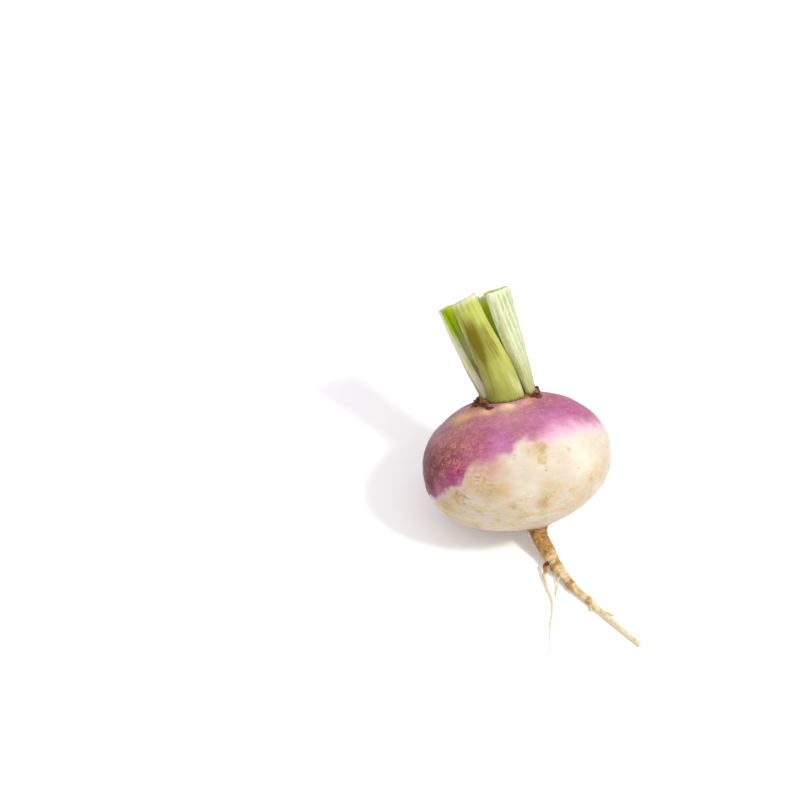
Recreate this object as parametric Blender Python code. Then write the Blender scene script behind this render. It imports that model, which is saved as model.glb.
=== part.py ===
"""A picked turnip as it lies on a table: one bulb with its tap root, and seven leaf stalks cut short.

The bulb leans back on a small flat spot and on the underside of its tap root. The stalks stand on the crown.
Lengths are metres, +Z is up, and the origin is the middle of the flat spot that the bulb rests on.
"""

import math

import bmesh
import bpy
from mathutils import Matrix, Vector, geometry

# The bulb, measured in its own frame: +Z to the crown along the growing axis, +X its front, +Y its right
BULB_RADIUS = 0.0400
BULB_HALF_HEIGHT = 0.0278
BULB_SQUARENESS = 2.11
EQUATOR_SHIFT = Vector((0.0010, 0.0, 0.0))
LOBES = ((2, 0.010, 0.6), (3, 0.007, 2.1), (5, 0.004, 4.0))
BULB_SEGMENTS = 48
BULB_RINGS = 30

# How the bulb lies: the lean of its growing axis from upright, and where that lean heads, left of +Y
AXIS_LEAN = math.radians(31.0)
LEAN_HEADING = math.radians(20.0)
FLAT_SPOT_DEPTH = 0.0009

# The crown: a low stem disc that the stalks stand on, tipped a little to the front, and the corky collar round it
DISC_MIDDLE = Vector((-0.0012, 0.0015, 0.0281))
DISC_TIP = math.radians(4)
DISC_RADIUS = 0.0119
COLLAR_RADIUS = 0.0140
COLLAR_WIDTH = 0.0014
COLLAR_HEIGHT = 0.0007
COLLAR_LUMPS = 9
GROOVE_RADIUS = 0.0126
GROOVE_DEPTH = 0.0005
SHOULDER_RADIUS = 0.0165
CROWN_RINGS = (0.0060, 0.0108, 0.0119, 0.0126, 0.0132, 0.0140, 0.0148, 0.0157, 0.0168, 0.0184)

# The tap root leaves the bulb's lower front and lies along the table. Its points are in the row frame
ROOT_PATH = (
    (0.0098, -0.0190, 0.0165),
    (0.0118, -0.0265, 0.0125),
    (0.0140, -0.0335, 0.0076),
    (0.0166, -0.0384, 0.0052),
    (0.0188, -0.0430, 0.0039),
    (0.0213, -0.0478, 0.0030),
    (0.0244, -0.0530, 0.0025),
    (0.0280, -0.0584, 0.0021),
    (0.0328, -0.0639, 0.00175),
    (0.0376, -0.0701, 0.00130),
    (0.0432, -0.0771, 0.00135),
    (0.0488, -0.0836, 0.00098),
    (0.0523, -0.0879, 0.00100),
)
ROOT_RADII = (
    0.0058, 0.0046, 0.0035, 0.0033, 0.0029, 0.0024, 0.0021, 0.00185, 0.0016, 0.00142, 0.0013, 0.0011, 0.00105
)
ROOT_SIDES = 12
ROOT_STEPS = 30
ROOT_KNOB = 0.06
ROOT_SWELL = 0.0018
ROOT_SWELL_REACH = 0.0060

# Side roots: the points that each follows, and its radius where it starts and ends
SIDE_ROOTS = (
    (((0.0190, -0.0440, 0.0042), (0.0160, -0.0458, 0.0040), (0.0156, -0.0480, 0.0028), (0.0152, -0.0508, 0.0018),
      (0.0161, -0.0557, 0.0011), (0.0173, -0.0605, 0.0008), (0.0180, -0.0659, 0.0007), (0.0171, -0.0719, 0.0006)),
     0.0009, 0.0004),
    (((0.0240, -0.0510, 0.0028), (0.0213, -0.0518, 0.0026), (0.0208, -0.0535, 0.0018), (0.0201, -0.0571, 0.0009),
      (0.0196, -0.0605, 0.0006)), 0.0007, 0.0004),
    (((0.0328, -0.0635, 0.0018), (0.0334, -0.0657, 0.0016), (0.0335, -0.0689, 0.0010)), 0.0010, 0.0005),
    (((0.0376, -0.0698, 0.0014), (0.0400, -0.0706, 0.0015), (0.0425, -0.0714, 0.0009)), 0.0008, 0.0004),
)
SIDE_ROOT_SIDES = 6
SIDE_ROOT_STEPS = 12

# The cut leaf stalks: each stands on the disc, leaves along its normal, and bends into the bundle's own direction
STALK_GAP = 0.0003
BUNDLE = Vector((-0.0008, -0.0073, 0.0428))
STALK_POINTS = 28
STALK_STEPS = 11
STALK_RIBS = 5
RIB_HEIGHT = 0.00022
FOOT_WRAP = 0.95
CUT_WRAP = 0.35
# name, azimuth at the foot and at the cut (degrees from the front, to the right), distance from the bundle's middle
# at both, width at the foot, half way and at the cut, thickness at both ends, depth of the channel on its inner face,
# share of the bundle's length, how far the stalk heads for its cut end from the start, and how much longer its right
# edge is than its middle where it is cut
STALKS = (
    ("stalk_front", -9, -15, 0.0081, 0.0118, 0.0172, 0.0132, 0.0110, 0.0052, 0.0054, 0.0016, 1.045, 0.0, 0.0011),
    ("stalk_right", 94, 57.5, 0.0090, 0.0130, 0.0096, 0.0170, 0.0140, 0.0037, 0.0048, 0.0016, 1.012, 0.0, -0.0005),
    ("stalk_left", -98, -108, 0.0084, 0.0139, 0.0076, 0.0098, 0.0106, 0.0048, 0.0044, 0.0024, 0.966, 1.4, 0.0),
    ("stalk_rear_left", -155, -161, 0.0084, 0.0122, 0.0078, 0.0086, 0.0094, 0.0050, 0.0050, 0.0016, 0.940, 0.3, 0.0),
    ("stalk_rear_right", 153, 148, 0.0084, 0.0124, 0.0072, 0.0064, 0.0084, 0.0050, 0.0052, 0.0016, 0.960, 0.3, 0.0),
    ("stalk_heart_front", 30, 58, 0.0024, 0.0036, 0.0046, 0.0052, 0.0056, 0.0030, 0.0034, 0.0008, 0.975, 0.5, 0.0),
    ("stalk_heart_rear", 210, 230, 0.0026, 0.0036, 0.0048, 0.0052, 0.0056, 0.0030, 0.0034, 0.0008, 0.920, 0.5, 0.0),
)

SKIN = ("turnip_skin", (0.58, 0.27, 0.44), 0.50)
STALK_GREEN = ("stalk_green", (0.45, 0.55, 0.18), 0.50)


def clear_scene():
    for obj in list(bpy.data.objects):
        bpy.data.objects.remove(obj)


def make_material(name, colour, roughness):
    material = bpy.data.materials.new(name)
    material.use_nodes = True
    surface = material.node_tree.nodes["Principled BSDF"]
    surface.inputs["Base Color"].default_value = (*colour, 1.0)
    surface.inputs["Roughness"].default_value = roughness
    surface.inputs["Metallic"].default_value = 0.0
    return material


def smooth_step(value, low, high):
    share = min(max((value - low) / (high - low), 0.0), 1.0)
    return share * share * (3 - 2 * share)


def along(points, share):
    """The place at this share of the way along a smooth curve through the points."""
    spans = len(points) - 1
    span = min(int(share * spans), spans - 1)
    t = share * spans - span
    before = points[max(span - 1, 0)]
    start, end = points[span], points[span + 1]
    after = points[min(span + 2, spans)]
    return 0.5 * (
        2 * start
        + (end - before) * t
        + (2 * before - 5 * start + 4 * end - after) * t**2
        + (3 * start - before - 3 * end + after) * t**3
    )


def between(values, share):
    """The value at this share of the way along a list of evenly spaced ones."""
    spans = len(values) - 1
    span = min(int(share * spans), spans - 1)
    t = share * spans - span
    return values[span] * (1 - t) + values[span + 1] * t


def skin_over(rings, start_point, end_point):
    """A closed mesh over rings of points, with a fan to a point at each end."""
    mesh = bmesh.new()
    rows = [[mesh.verts.new(point) for point in ring] for ring in rings]
    count = len(rows[0])
    for row, following in zip(rows, rows[1:]):
        for i in range(count):
            j = (i + 1) % count
            mesh.faces.new((row[i], row[j], following[j], following[i]))
    first, last = mesh.verts.new(start_point), mesh.verts.new(end_point)
    for i in range(count):
        j = (i + 1) % count
        mesh.faces.new((first, rows[0][j], rows[0][i]))
        mesh.faces.new((last, rows[-1][i], rows[-1][j]))
    bmesh.ops.recalc_face_normals(mesh, faces=mesh.faces)
    return mesh


def new_object(name, mesh, material=None, parent=None):
    data = bpy.data.meshes.new(name)
    mesh.to_mesh(data)
    mesh.free()
    data.shade_smooth()
    obj = bpy.data.objects.new(name, data)
    bpy.context.scene.collection.objects.link(obj)
    obj.parent = parent
    if material:
        data.materials.append(material)
    return obj


def axis_turn():
    """The bulb's frame as a rotation: its Z leans back and left, and its X is the side that faces -Y."""
    up = Vector((
        -math.sin(AXIS_LEAN) * math.sin(LEAN_HEADING),
        math.sin(AXIS_LEAN) * math.cos(LEAN_HEADING),
        math.cos(AXIS_LEAN),
    ))
    front = Vector((0.0, -1.0, 0.0))
    front = (front - front.dot(up) * up).normalized()
    right = up.cross(front)
    return Matrix((front, right, up)).transposed()


def bulb_point(azimuth, radius, height):
    """A point of the plain bulb, swelled into lobes and shifted to one side about its equator."""
    swell = 1 + sum(size * math.cos(count * azimuth + turn) for count, size, turn in LOBES) * radius / BULB_RADIUS
    shift = EQUATOR_SHIFT * (1 - (height / BULB_HALF_HEIGHT) ** 2)
    return shift + Vector((radius * swell * math.cos(azimuth), radius * swell * math.sin(azimuth), height))


def height_at(radius):
    """The height of the bulb's shoulder over its middle at this distance from the axis."""
    return BULB_HALF_HEIGHT * (1 - (radius / BULB_RADIUS) ** BULB_SQUARENESS) ** (1 / BULB_SQUARENESS)


def disc_turn():
    """The stem disc's frame in the bulb's: its Z is the disc's normal."""
    return Matrix.Rotation(DISC_TIP, 3, "Y")


def crown_point(azimuth, radius):
    """A point of the crown: flat on the stem disc, then over a groove and a lumpy collar down to the bulb's shoulder."""
    disc = DISC_MIDDLE + disc_turn() @ Vector((radius * math.cos(azimuth), radius * math.sin(azimuth), 0.0))
    away = smooth_step(radius, DISC_RADIUS, SHOULDER_RADIUS)
    point = disc.lerp(bulb_point(azimuth, radius, height_at(radius)), away)
    lump = 0.65 + 0.35 * math.cos(COLLAR_LUMPS * azimuth + math.sin(2 * azimuth))
    point.z += COLLAR_HEIGHT * lump * math.exp(-(((radius - COLLAR_RADIUS) / COLLAR_WIDTH) ** 2))
    if radius > DISC_RADIUS:
        point.z -= GROOVE_DEPTH * math.exp(-(((radius - GROOVE_RADIUS) / 0.0007) ** 2))
    return point


def bulb_rings():
    """Rings of the bulb from the crown to its base, in the bulb's frame."""
    azimuths = [2 * math.pi * i / BULB_SEGMENTS for i in range(BULB_SEGMENTS)]
    rings = [[crown_point(azimuth, radius) for azimuth in azimuths] for radius in CROWN_RINGS]
    start = math.asin((CROWN_RINGS[-1] / BULB_RADIUS) ** (BULB_SQUARENESS / 2))
    for step in range(1, BULB_RINGS):
        turn = start + (math.pi - start) * step / BULB_RINGS
        radius = BULB_RADIUS * math.sin(turn) ** (2 / BULB_SQUARENESS)
        height = math.copysign(abs(math.cos(turn)) ** (2 / BULB_SQUARENESS), math.cos(turn)) * BULB_HALF_HEIGHT
        rings.append([bulb_point(azimuth, radius, height) for azimuth in azimuths])
    return rings, DISC_MIDDLE.copy(), Vector((0.0, 0.0, -BULB_HALF_HEIGHT))


def bulb_centre(rings, turn):
    """Where the bulb's middle lies, so that its lowest point is a flat spot's depth under the origin."""
    lowest = min((turn @ point for ring in rings for point in ring), key=lambda point: point.z)
    return Vector((0.0, 0.0, -FLAT_SPOT_DEPTH)) - lowest


def swell_to_root(rings, end, place):
    """Draws the bulb's base out towards the tap root, so that the two meet in a fillet."""
    inside = place.inverted()
    inner, outer = (inside @ Vector(ROOT_PATH[i]) for i in (0, 3))
    ahead = (outer - inner).normalized()
    for point in [point for ring in rings for point in ring] + [end]:
        nearest, _ = geometry.intersect_point_line(point, inner, outer)
        away = (point - nearest).length
        if (point - inner).dot(ahead) > 0:
            point += ahead * ROOT_SWELL * math.exp(-((away / ROOT_SWELL_REACH) ** 2))


def tube(points, radius_at, sides, steps, knob=0.0):
    """Rings of a tapering root along a curve, with the curve's two ends."""
    middles = [along(points, step / steps) for step in range(steps + 1)]
    rings = []
    side = Vector((0.0, 0.0, 1.0))
    for step, middle in enumerate(middles):
        ahead = (middles[min(step + 1, steps)] - middles[max(step - 1, 0)]).normalized()
        side = (side - side.dot(ahead) * ahead).normalized()
        across = ahead.cross(side)
        ring = []
        for i in range(sides):
            angle = 2 * math.pi * i / sides
            radius = radius_at(step / steps) * (1 + knob * math.sin(1.9 * step + 2 * angle) * math.cos(0.7 * step))
            ring.append(middle + radius * (math.cos(angle) * side + math.sin(angle) * across))
        rings.append(ring)
    return rings, middles[0], middles[-1]


def make_bulb(material, axis):
    """The bulb and its roots, joined in one solid and flat where it rests."""
    turn = axis_turn()
    rings, crown, base = bulb_rings()
    axis.location = bulb_centre(rings, turn)
    axis.rotation_euler = turn.to_euler()
    bpy.context.view_layer.update()
    place = axis.matrix_world.copy()
    swell_to_root(rings, base, place)
    bulb = new_object("bulb_and_tap_root", skin_over(rings, crown, base), material, axis)

    roots = bpy.data.collections.new("roots")
    path = [Vector(point) for point in ROOT_PATH]
    parts = [tube(path, lambda share: between(ROOT_RADII, share), ROOT_SIDES, ROOT_STEPS, ROOT_KNOB)]
    for points, first, last in SIDE_ROOTS:
        parts.append(tube(
            [Vector(point) for point in points],
            lambda share, first=first, last=last: first + (last - first) * share,
            SIDE_ROOT_SIDES,
            SIDE_ROOT_STEPS,
        ))
    for number, (root_rings, start, end) in enumerate(parts):
        obj = new_object(f"root_{number}", skin_over(root_rings, start, end), material)
        bpy.context.scene.collection.objects.unlink(obj)
        roots.objects.link(obj)
    bpy.context.scene.collection.children.link(roots)

    join = bulb.modifiers.new("join_roots", "BOOLEAN")
    join.operation = "UNION"
    join.operand_type = "COLLECTION"
    join.collection = roots
    join.solver = "EXACT"
    apply_modifiers(bulb)
    for obj in list(roots.objects):
        bpy.data.objects.remove(obj)
    bpy.data.collections.remove(roots)
    flatten_underside(bulb, place)
    return bulb


def apply_modifiers(obj):
    graph = bpy.context.evaluated_depsgraph_get()
    made = bpy.data.meshes.new_from_object(obj.evaluated_get(graph))
    obj.modifiers.clear()
    obj.data = made


def flatten_underside(obj, place):
    """Cuts away what lies under the table's plane and closes each cut with a flat face."""
    mesh = bmesh.new()
    mesh.from_mesh(obj.data)
    inside = place.inverted()
    down = (inside.to_3x3() @ Vector((0.0, 0.0, -1.0))).normalized()
    cut = bmesh.ops.bisect_plane(
        mesh,
        geom=mesh.verts[:] + mesh.edges[:] + mesh.faces[:],
        plane_co=inside @ Vector((0.0, 0.0, 0.0)),
        plane_no=down,
        clear_outer=True,
    )
    edges = [part for part in cut["geom_cut"] if isinstance(part, bmesh.types.BMEdge)]
    bmesh.ops.holes_fill(mesh, edges=edges, sides=0)
    bmesh.ops.recalc_face_normals(mesh, faces=mesh.faces)
    mesh.to_mesh(obj.data)
    mesh.free()


def stalk_outline(width, thickness, channel, distance, wrap):
    """The cross-section of a leaf stalk: a ribbed back along +X, and a hollowed face towards the bundle's middle.

    It is wrapped round the bundle's middle, which lies this distance behind it.
    """
    points = []
    bend = distance / wrap
    for i in range(STALK_POINTS):
        angle = 2 * math.pi * i / STALK_POINTS
        across = math.sin(angle)
        side = 0.5 * width * math.copysign(abs(across) ** 0.85, across)
        if math.cos(angle) >= 0:
            rib = RIB_HEIGHT * math.cos(STALK_RIBS * math.pi * across) * math.cos(angle)
            out = 0.60 * thickness * math.cos(angle) ** 0.8 + rib
        else:
            out = -0.40 * thickness * abs(math.cos(angle)) ** 0.5 + channel * (1 - across**2) ** 1.5
        points.append(((bend + out) * math.cos(side / bend) - bend, (bend + out) * math.sin(side / bend), across))
    return points


def round_the_bundle(ahead, azimuth):
    """The direction out from the bundle's middle at this azimuth, square to the way the bundle runs."""
    right = ahead.cross(Vector((1.0, 0.0, 0.0))).normalized()
    front = right.cross(ahead)
    return front * math.cos(azimuth) + right * math.sin(azimuth)


def stalk_rings(stalk):
    """Rings of one leaf stalk from its foot on the stem disc to its cut end, in the bulb's frame."""
    _, foot_turn, cut_turn, foot_out, cut_out, *widths, foot_thick, cut_thick, channel, reach, head, slant = stalk
    up = disc_turn() @ Vector((0.0, 0.0, 1.0))
    lean = BUNDLE.normalized()
    foot_turn, cut_turn = math.radians(foot_turn), math.radians(cut_turn)
    base = DISC_MIDDLE + up * STALK_GAP
    foot = base + foot_out * round_the_bundle(up, foot_turn)
    cut = base + BUNDLE * reach + cut_out * round_the_bundle(lean, cut_turn)
    third = BUNDLE.length * 0.33
    end_lean = (lean + (cut - foot).normalized()).normalized()
    start_lean = up.lerp((cut - foot).normalized(), head).normalized()
    bends = (foot, foot + start_lean * third, cut - end_lean * third, cut)
    rings = []
    for step in range(STALK_STEPS + 1):
        t = step / STALK_STEPS
        weights = ((1 - t) ** 3, 3 * t * (1 - t) ** 2, 3 * t**2 * (1 - t), t**3)
        slopes = (-3 * (1 - t) ** 2, 3 * (1 - t) ** 2 - 6 * t * (1 - t), 6 * t * (1 - t) - 3 * t**2, 3 * t**2)
        middle = sum((bend * weight for bend, weight in zip(bends, weights)), Vector())
        ahead = sum((bend * slope for bend, slope in zip(bends, slopes)), Vector()).normalized()
        ahead = up.lerp(ahead, smooth_step(t, 0.0, 0.2)).lerp(lean, t**3).normalized()
        out = round_the_bundle(ahead, foot_turn + (cut_turn - foot_turn) * t)
        side = ahead.cross(out)
        width = widths[0] * (1 - t) * (1 - 2 * t) + widths[1] * 4 * t * (1 - t) + widths[2] * t * (2 * t - 1)
        thick = foot_thick + (cut_thick - foot_thick) * t
        hollow = channel * (0.35 + 0.65 * t)
        distance = foot_out + (cut_out - foot_out) * t
        wrap = FOOT_WRAP + (CUT_WRAP - FOOT_WRAP) * t
        outline = stalk_outline(width, thick, hollow, distance, wrap)
        longer = slant * smooth_step(t, 0.8, 1.0)
        rings.append([middle + out * x + side * y + lean * longer * across for x, y, across in outline])
    return rings


def make_stalk(stalk, material, axis):
    rings = stalk_rings(stalk)
    ends = [sum(ring, Vector()) / len(ring) for ring in (rings[0], rings[-1])]
    return new_object(stalk[0], skin_over(rings, *ends), material, axis)


def main():
    clear_scene()
    skin = make_material(*SKIN)
    green = make_material(*STALK_GREEN)
    axis = bpy.data.objects.new("growing_axis", None)
    bpy.context.scene.collection.objects.link(axis)
    make_bulb(skin, axis)
    for stalk in STALKS:
        make_stalk(stalk, green, axis)


main()
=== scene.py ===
"""The looks of a picked purple-topped turnip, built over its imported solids.

The bulb leans back on its flat spot with its tap root bent along the table. Seven leaf stalks, cut short,
stand on its crown. All lengths are metres in the row frame, +Z up, unless a name ends in _mm.
"""

import logging
import math
from dataclasses import dataclass, replace
from enum import Enum
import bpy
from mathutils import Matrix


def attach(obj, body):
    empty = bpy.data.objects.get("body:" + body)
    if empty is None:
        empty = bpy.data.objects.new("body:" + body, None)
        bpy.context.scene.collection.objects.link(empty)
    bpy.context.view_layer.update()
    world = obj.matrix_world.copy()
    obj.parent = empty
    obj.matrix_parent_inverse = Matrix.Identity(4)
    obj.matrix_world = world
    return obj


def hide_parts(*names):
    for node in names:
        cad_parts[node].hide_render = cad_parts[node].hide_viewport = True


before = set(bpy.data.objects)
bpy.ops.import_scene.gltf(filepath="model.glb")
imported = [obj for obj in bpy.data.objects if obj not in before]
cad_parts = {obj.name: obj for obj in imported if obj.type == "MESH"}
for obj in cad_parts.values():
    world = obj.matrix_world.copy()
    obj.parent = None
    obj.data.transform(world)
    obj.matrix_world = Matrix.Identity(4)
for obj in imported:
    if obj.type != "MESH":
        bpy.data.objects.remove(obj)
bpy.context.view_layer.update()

import bpy
import numpy as np
from mathutils import Vector, noise

LOG = logging.getLogger("turnip")
MM = 0.001
BODY = "root"
# How bright the room makes a white sheet that faces the light, with 1 as white on the screen
ROOM_LIGHT = 1.22


# Numbers and meshes


def smooth(value: np.ndarray, low: float, high: float) -> np.ndarray:
    """Eases from 0 at low to 1 at high."""
    share = np.clip((np.asarray(value, float) - low) / (high - low), 0.0, 1.0)
    return share * share * (3 - 2 * share)


def rough(points: np.ndarray, size: float, octaves: int = 3, seed: int = 0) -> np.ndarray:
    """Seeded smooth noise, about -1 to 1.

    Args:
        points: places, one to a row.
        size: how long a feature is, in the points' own unit.
        octaves: how many finer layers it has.
        seed: picks another part of the noise.

    Returns:
        One value for each point.
    """
    start = Vector((seed * 7.31, seed * 3.17, seed * 11.73))
    return np.array([noise.fractal(Vector(point) / size + start, 1.0, 2.0, octaves) for point in points])


def follow(points: np.ndarray, shares: np.ndarray) -> np.ndarray:
    """Places on a smooth curve through some points.

    Args:
        points: the points that the curve goes through.
        shares: how far along it each wanted place is, 0 to 1.

    Returns:
        One place for each share.
    """
    points = np.asarray(points, float)
    spans = len(points) - 1
    span = np.minimum((shares * spans).astype(int), spans - 1)
    t = (shares * spans - span)[:, None]
    before, start = points[np.maximum(span - 1, 0)], points[span]
    end, after = points[span + 1], points[np.minimum(span + 2, spans)]
    return 0.5 * (
        2 * start
        + (end - before) * t
        + (2 * before - 5 * start + 4 * end - after) * t**2
        + (3 * start - before - 3 * end + after) * t**3
    )


def unit(rows: np.ndarray) -> np.ndarray:
    """Each row at length 1."""
    return rows / np.linalg.norm(rows, axis=-1, keepdims=True)


def closed_mesh(name: str, shells: list[np.ndarray]) -> bpy.types.Mesh:
    """A mesh of closed shells, each lofted over rings of points and closed with a fan at both ends.

    Args:
        name: the mesh's name.
        shells: arrays of rings, each of shape (rings, points in a ring, 3).

    Returns:
        The mesh, with faces outwards. Its last two points in each shell are the ends' middles.
    """
    all_points, all_faces, first = [], [], 0
    for rings in shells:
        rows, count, _ = rings.shape
        points = np.concatenate([rings.reshape(-1, 3), [rings[0].mean(axis=0)], [rings[-1].mean(axis=0)]])
        near = np.arange(count)
        far = (near + 1) % count
        low = (np.arange(rows - 1) * count)[:, None]
        quads = np.stack([low + near, low + far, low + count + far, low + count + near], axis=-1).reshape(-1, 4)
        top = (rows - 1) * count
        fans = [(rows * count, int(b), int(a)) for a, b in zip(near, far)]
        fans += [(rows * count + 1, int(top + a), int(top + b)) for a, b in zip(near, far)]
        corners = points[quads]
        volume = np.einsum("ij,ij->i", corners[:, 0], np.cross(corners[:, 1], corners[:, 2])).sum()
        volume += np.einsum("ij,ij->i", corners[:, 0], np.cross(corners[:, 2], corners[:, 3])).sum()
        volume += sum(float(np.dot(points[a], np.cross(points[b], points[c]))) for a, b, c in fans)
        faces = [tuple(int(i) for i in quad) for quad in quads] + fans
        if volume < 0:
            faces = [face[::-1] for face in faces]
        all_faces += [tuple(first + i for i in face) for face in faces]
        all_points.append(points)
        first += len(points)
    mesh = bpy.data.meshes.new(name)
    mesh.from_pydata(np.concatenate(all_points).tolist(), [], all_faces)
    mesh.shade_smooth()
    return mesh


def ring_values(values: np.ndarray) -> np.ndarray:
    """One value for each point of a closed shell, from a (rings, points in a ring) array of them."""
    return np.concatenate([values.reshape(-1), [values[0].mean()], [values[-1].mean()]])


def paint(mesh: bpy.types.Mesh, **fields: np.ndarray) -> None:
    """Stores named values on a mesh's points, for its material to read.

    Args:
        mesh: the mesh.
        fields: name to one number, or one row of three, for each point.
    """
    for name, values in fields.items():
        values = np.asarray(values, np.float32)
        kind, slot = ("FLOAT_VECTOR", "vector") if values.ndim == 2 else ("FLOAT", "value")
        mesh.attributes.new(name, kind, "POINT").data.foreach_set(slot, values.ravel())


def tube(path: np.ndarray, radii: np.ndarray, sides: int) -> np.ndarray:
    """Rings of a plain round tube along a path.

    Args:
        path: the middle of each ring.
        radii: the radius of each ring, or of each point in each ring.
        sides: how many points a ring has.

    Returns:
        An array of shape (rings, sides, 3).
    """
    ahead = unit(np.gradient(path, axis=0))
    side = np.array([0.0, 0.0, 1.0])
    turn = np.linspace(0, 2 * math.pi, sides, endpoint=False)[:, None]
    rings = []
    for middle, forward, radius in zip(path, ahead, np.reshape(radii, (len(path), -1, 1))):
        side = unit(side - side.dot(forward) * forward)
        rings.append(middle + radius * (np.cos(turn) * side + np.sin(turn) * np.cross(forward, side)))
    return np.array(rings)


def new_piece(name: str, mesh: bpy.types.Mesh, material: bpy.types.Material) -> bpy.types.Object:
    """An object at the origin that shows a mesh in a material.

    Args:
        name: the object's name.
        mesh: what it shows.
        material: what it is made of.

    Returns:
        The object.
    """
    mesh.materials.clear()
    mesh.materials.append(material)
    obj = bpy.data.objects.new(name, mesh)
    bpy.context.scene.collection.objects.link(obj)
    return obj


def hand_over(piece: bpy.types.Object, node: str = "") -> bpy.types.Object:
    """Ties a finished piece to the body and hides the solid that it stands for.

    Args:
        piece: the finished piece.
        node: the solid that it stands for, if any.

    Returns:
        The same piece.
    """
    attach(piece, BODY)
    if node:
        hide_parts(node)
    return piece


# Materials

Socket = bpy.types.NodeSocket
Colour = tuple[float, float, float, float]
Stops = tuple[tuple[float, Colour], ...]


def tint(red: int, green: int, blue: int) -> Colour:
    """The linear colour of a surface that shows as this colour, 0 to 255 a channel, in the room's light."""
    linear = [(c / 255) / 12.92 if c <= 10 else ((c / 255 + 0.055) / 1.055) ** 2.4 for c in (red, green, blue)]
    return (linear[0] / ROOM_LIGHT, linear[1] / ROOM_LIGHT, linear[2] / ROOM_LIGHT, 1.0)


class Paintbox:
    """A material under construction: each method adds a node and gives back the socket that it makes."""

    def __init__(self, name: str, shine: float = 0.35) -> None:
        """Starts an empty material.

        Args:
            name: the material's name.
            shine: how much of the light its surface mirrors.
        """
        self.material = bpy.data.materials.new(name)
        self.material.use_nodes = True
        self.tree = self.material.node_tree
        self.surface = self.tree.nodes["Principled BSDF"]
        self.surface.inputs["Specular IOR Level"].default_value = shine

    def feed(self, socket: Socket, value: object) -> None:
        """Sets an input.

        Args:
            socket: the input.
            value: another node's output to link it to, or a plain value.
        """
        if isinstance(value, Socket):
            self.tree.links.new(value, socket)
        else:
            socket.default_value = value

    def node(self, kind: str, output: int | str, inputs: dict[int | str, object], **settings: object) -> Socket:
        """Adds a node.

        Args:
            kind: its type.
            output: which of its outputs is wanted.
            inputs: another node's output, or a plain value, for each input.
            settings: its own settings.

        Returns:
            The wanted output.
        """
        node = self.tree.nodes.new(kind)
        for name, value in settings.items():
            setattr(node, name, value)
        for name, value in inputs.items():
            self.feed(node.inputs[name], value)
        return node.outputs[output]

    def place(self) -> Socket:
        """Where a point is in the row frame."""
        return self.node("ShaderNodeTexCoord", "Object", {})

    def value_of(self, name: str) -> Socket:
        """A number that the mesh stores on its points."""
        return self.node("ShaderNodeAttribute", "Fac", {}, attribute_name=name)

    def vector_of(self, name: str) -> Socket:
        """Three numbers that the mesh stores on its points."""
        return self.node("ShaderNodeAttribute", "Vector", {}, attribute_name=name)

    def scaled(self, vector: object, scale: tuple[float, float, float]) -> Socket:
        """A vector with each part scaled on its own."""
        return self.node("ShaderNodeMapping", "Vector", {"Vector": vector, "Scale": scale})

    def grain(self, vector: object, scale: float, detail: float = 3.0, roughness: float = 0.55) -> Socket:
        """Smooth noise, about 0.2 to 0.8, with this many features to a unit."""
        inputs = {"Vector": vector, "Scale": scale, "Detail": detail, "Roughness": roughness}
        return self.node("ShaderNodeTexNoise", "Fac", inputs)

    def cells(self, vector: object, scale: float) -> Socket:
        """The distance from the nearest cell's middle."""
        return self.node("ShaderNodeTexVoronoi", "Distance", {"Vector": vector, "Scale": scale})

    def sum(self, *terms: tuple[object, float]) -> Socket:
        """Adds some values up.

        Args:
            terms: each value with its weight.

        Returns:
            The sum.
        """
        total: object = 0.0
        for value, weight in terms:
            total = self.node("ShaderNodeMath", 0, {0: value, 1: weight, 2: total}, operation="MULTIPLY_ADD")
        return total

    def times(self, one: object, other: object) -> Socket:
        """Two values multiplied, kept between 0 and 1."""
        return self.node("ShaderNodeMath", 0, {0: one, 1: other}, operation="MULTIPLY", use_clamp=True)

    def ease(self, value: object, low: float, high: float, start: float = 0.0, end: float = 1.0) -> Socket:
        """Eases from start to end as the value goes from low to high."""
        inputs = {"Value": value, "From Min": low, "From Max": high, "To Min": start, "To Max": end}
        return self.node("ShaderNodeMapRange", "Result", inputs, interpolation_type="SMOOTHSTEP")

    def ramp(self, value: object, stops: Stops) -> Socket:
        """Looks a colour up along some stops.

        Args:
            value: where to look, 0 to 1.
            stops: each position with its colour.

        Returns:
            The colour.
        """
        colour = self.node("ShaderNodeValToRGB", "Color", {"Fac": value})
        band = colour.node.color_ramp
        while len(band.elements) < len(stops):
            band.elements.new(0.5)
        for element, (position, shade) in zip(band.elements, stops):
            element.position = position
            element.color = shade
        return colour

    def mix(self, under: object, over: object, share: object, blend: str = "MIX") -> Socket:
        """One colour laid over another by this share."""
        return self.node("ShaderNodeMix", 2, {0: share, 6: under, 7: over}, data_type="RGBA", blend_type=blend)

    def finish(
        self, colour: object, gloss: object, height: object = None, depth: float = 0.0, soft: float = 0.0
    ) -> bpy.types.Material:
        """Feeds the surface and gives back the material.

        Args:
            colour: the surface's colour.
            gloss: its roughness.
            height: a value that stands up from the surface, if any.
            depth: how far it stands up, in metres.
            soft: how much light goes under the surface.

        Returns:
            The finished material.
        """
        inputs = {"Base Color": colour, "Roughness": gloss}
        if soft:
            inputs |= {"Subsurface Weight": soft, "Subsurface Radius": (1.0, 0.6, 0.4)}
            inputs["Subsurface Scale"] = 0.0015
        if height is not None:
            inputs["Normal"] = self.node("ShaderNodeBump", "Normal", {"Distance": depth, "Height": height})
        for name, value in inputs.items():
            self.feed(self.surface.inputs[name], value)
        return self.material


@dataclass(frozen=True)
class Grains:
    """Where a point of the skin is, and the mottlings that its purple and its cream share, broad to fine."""

    place: Socket
    around: Socket
    bands: Socket
    broad: Socket
    middle: Socket
    fine: Socket


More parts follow.
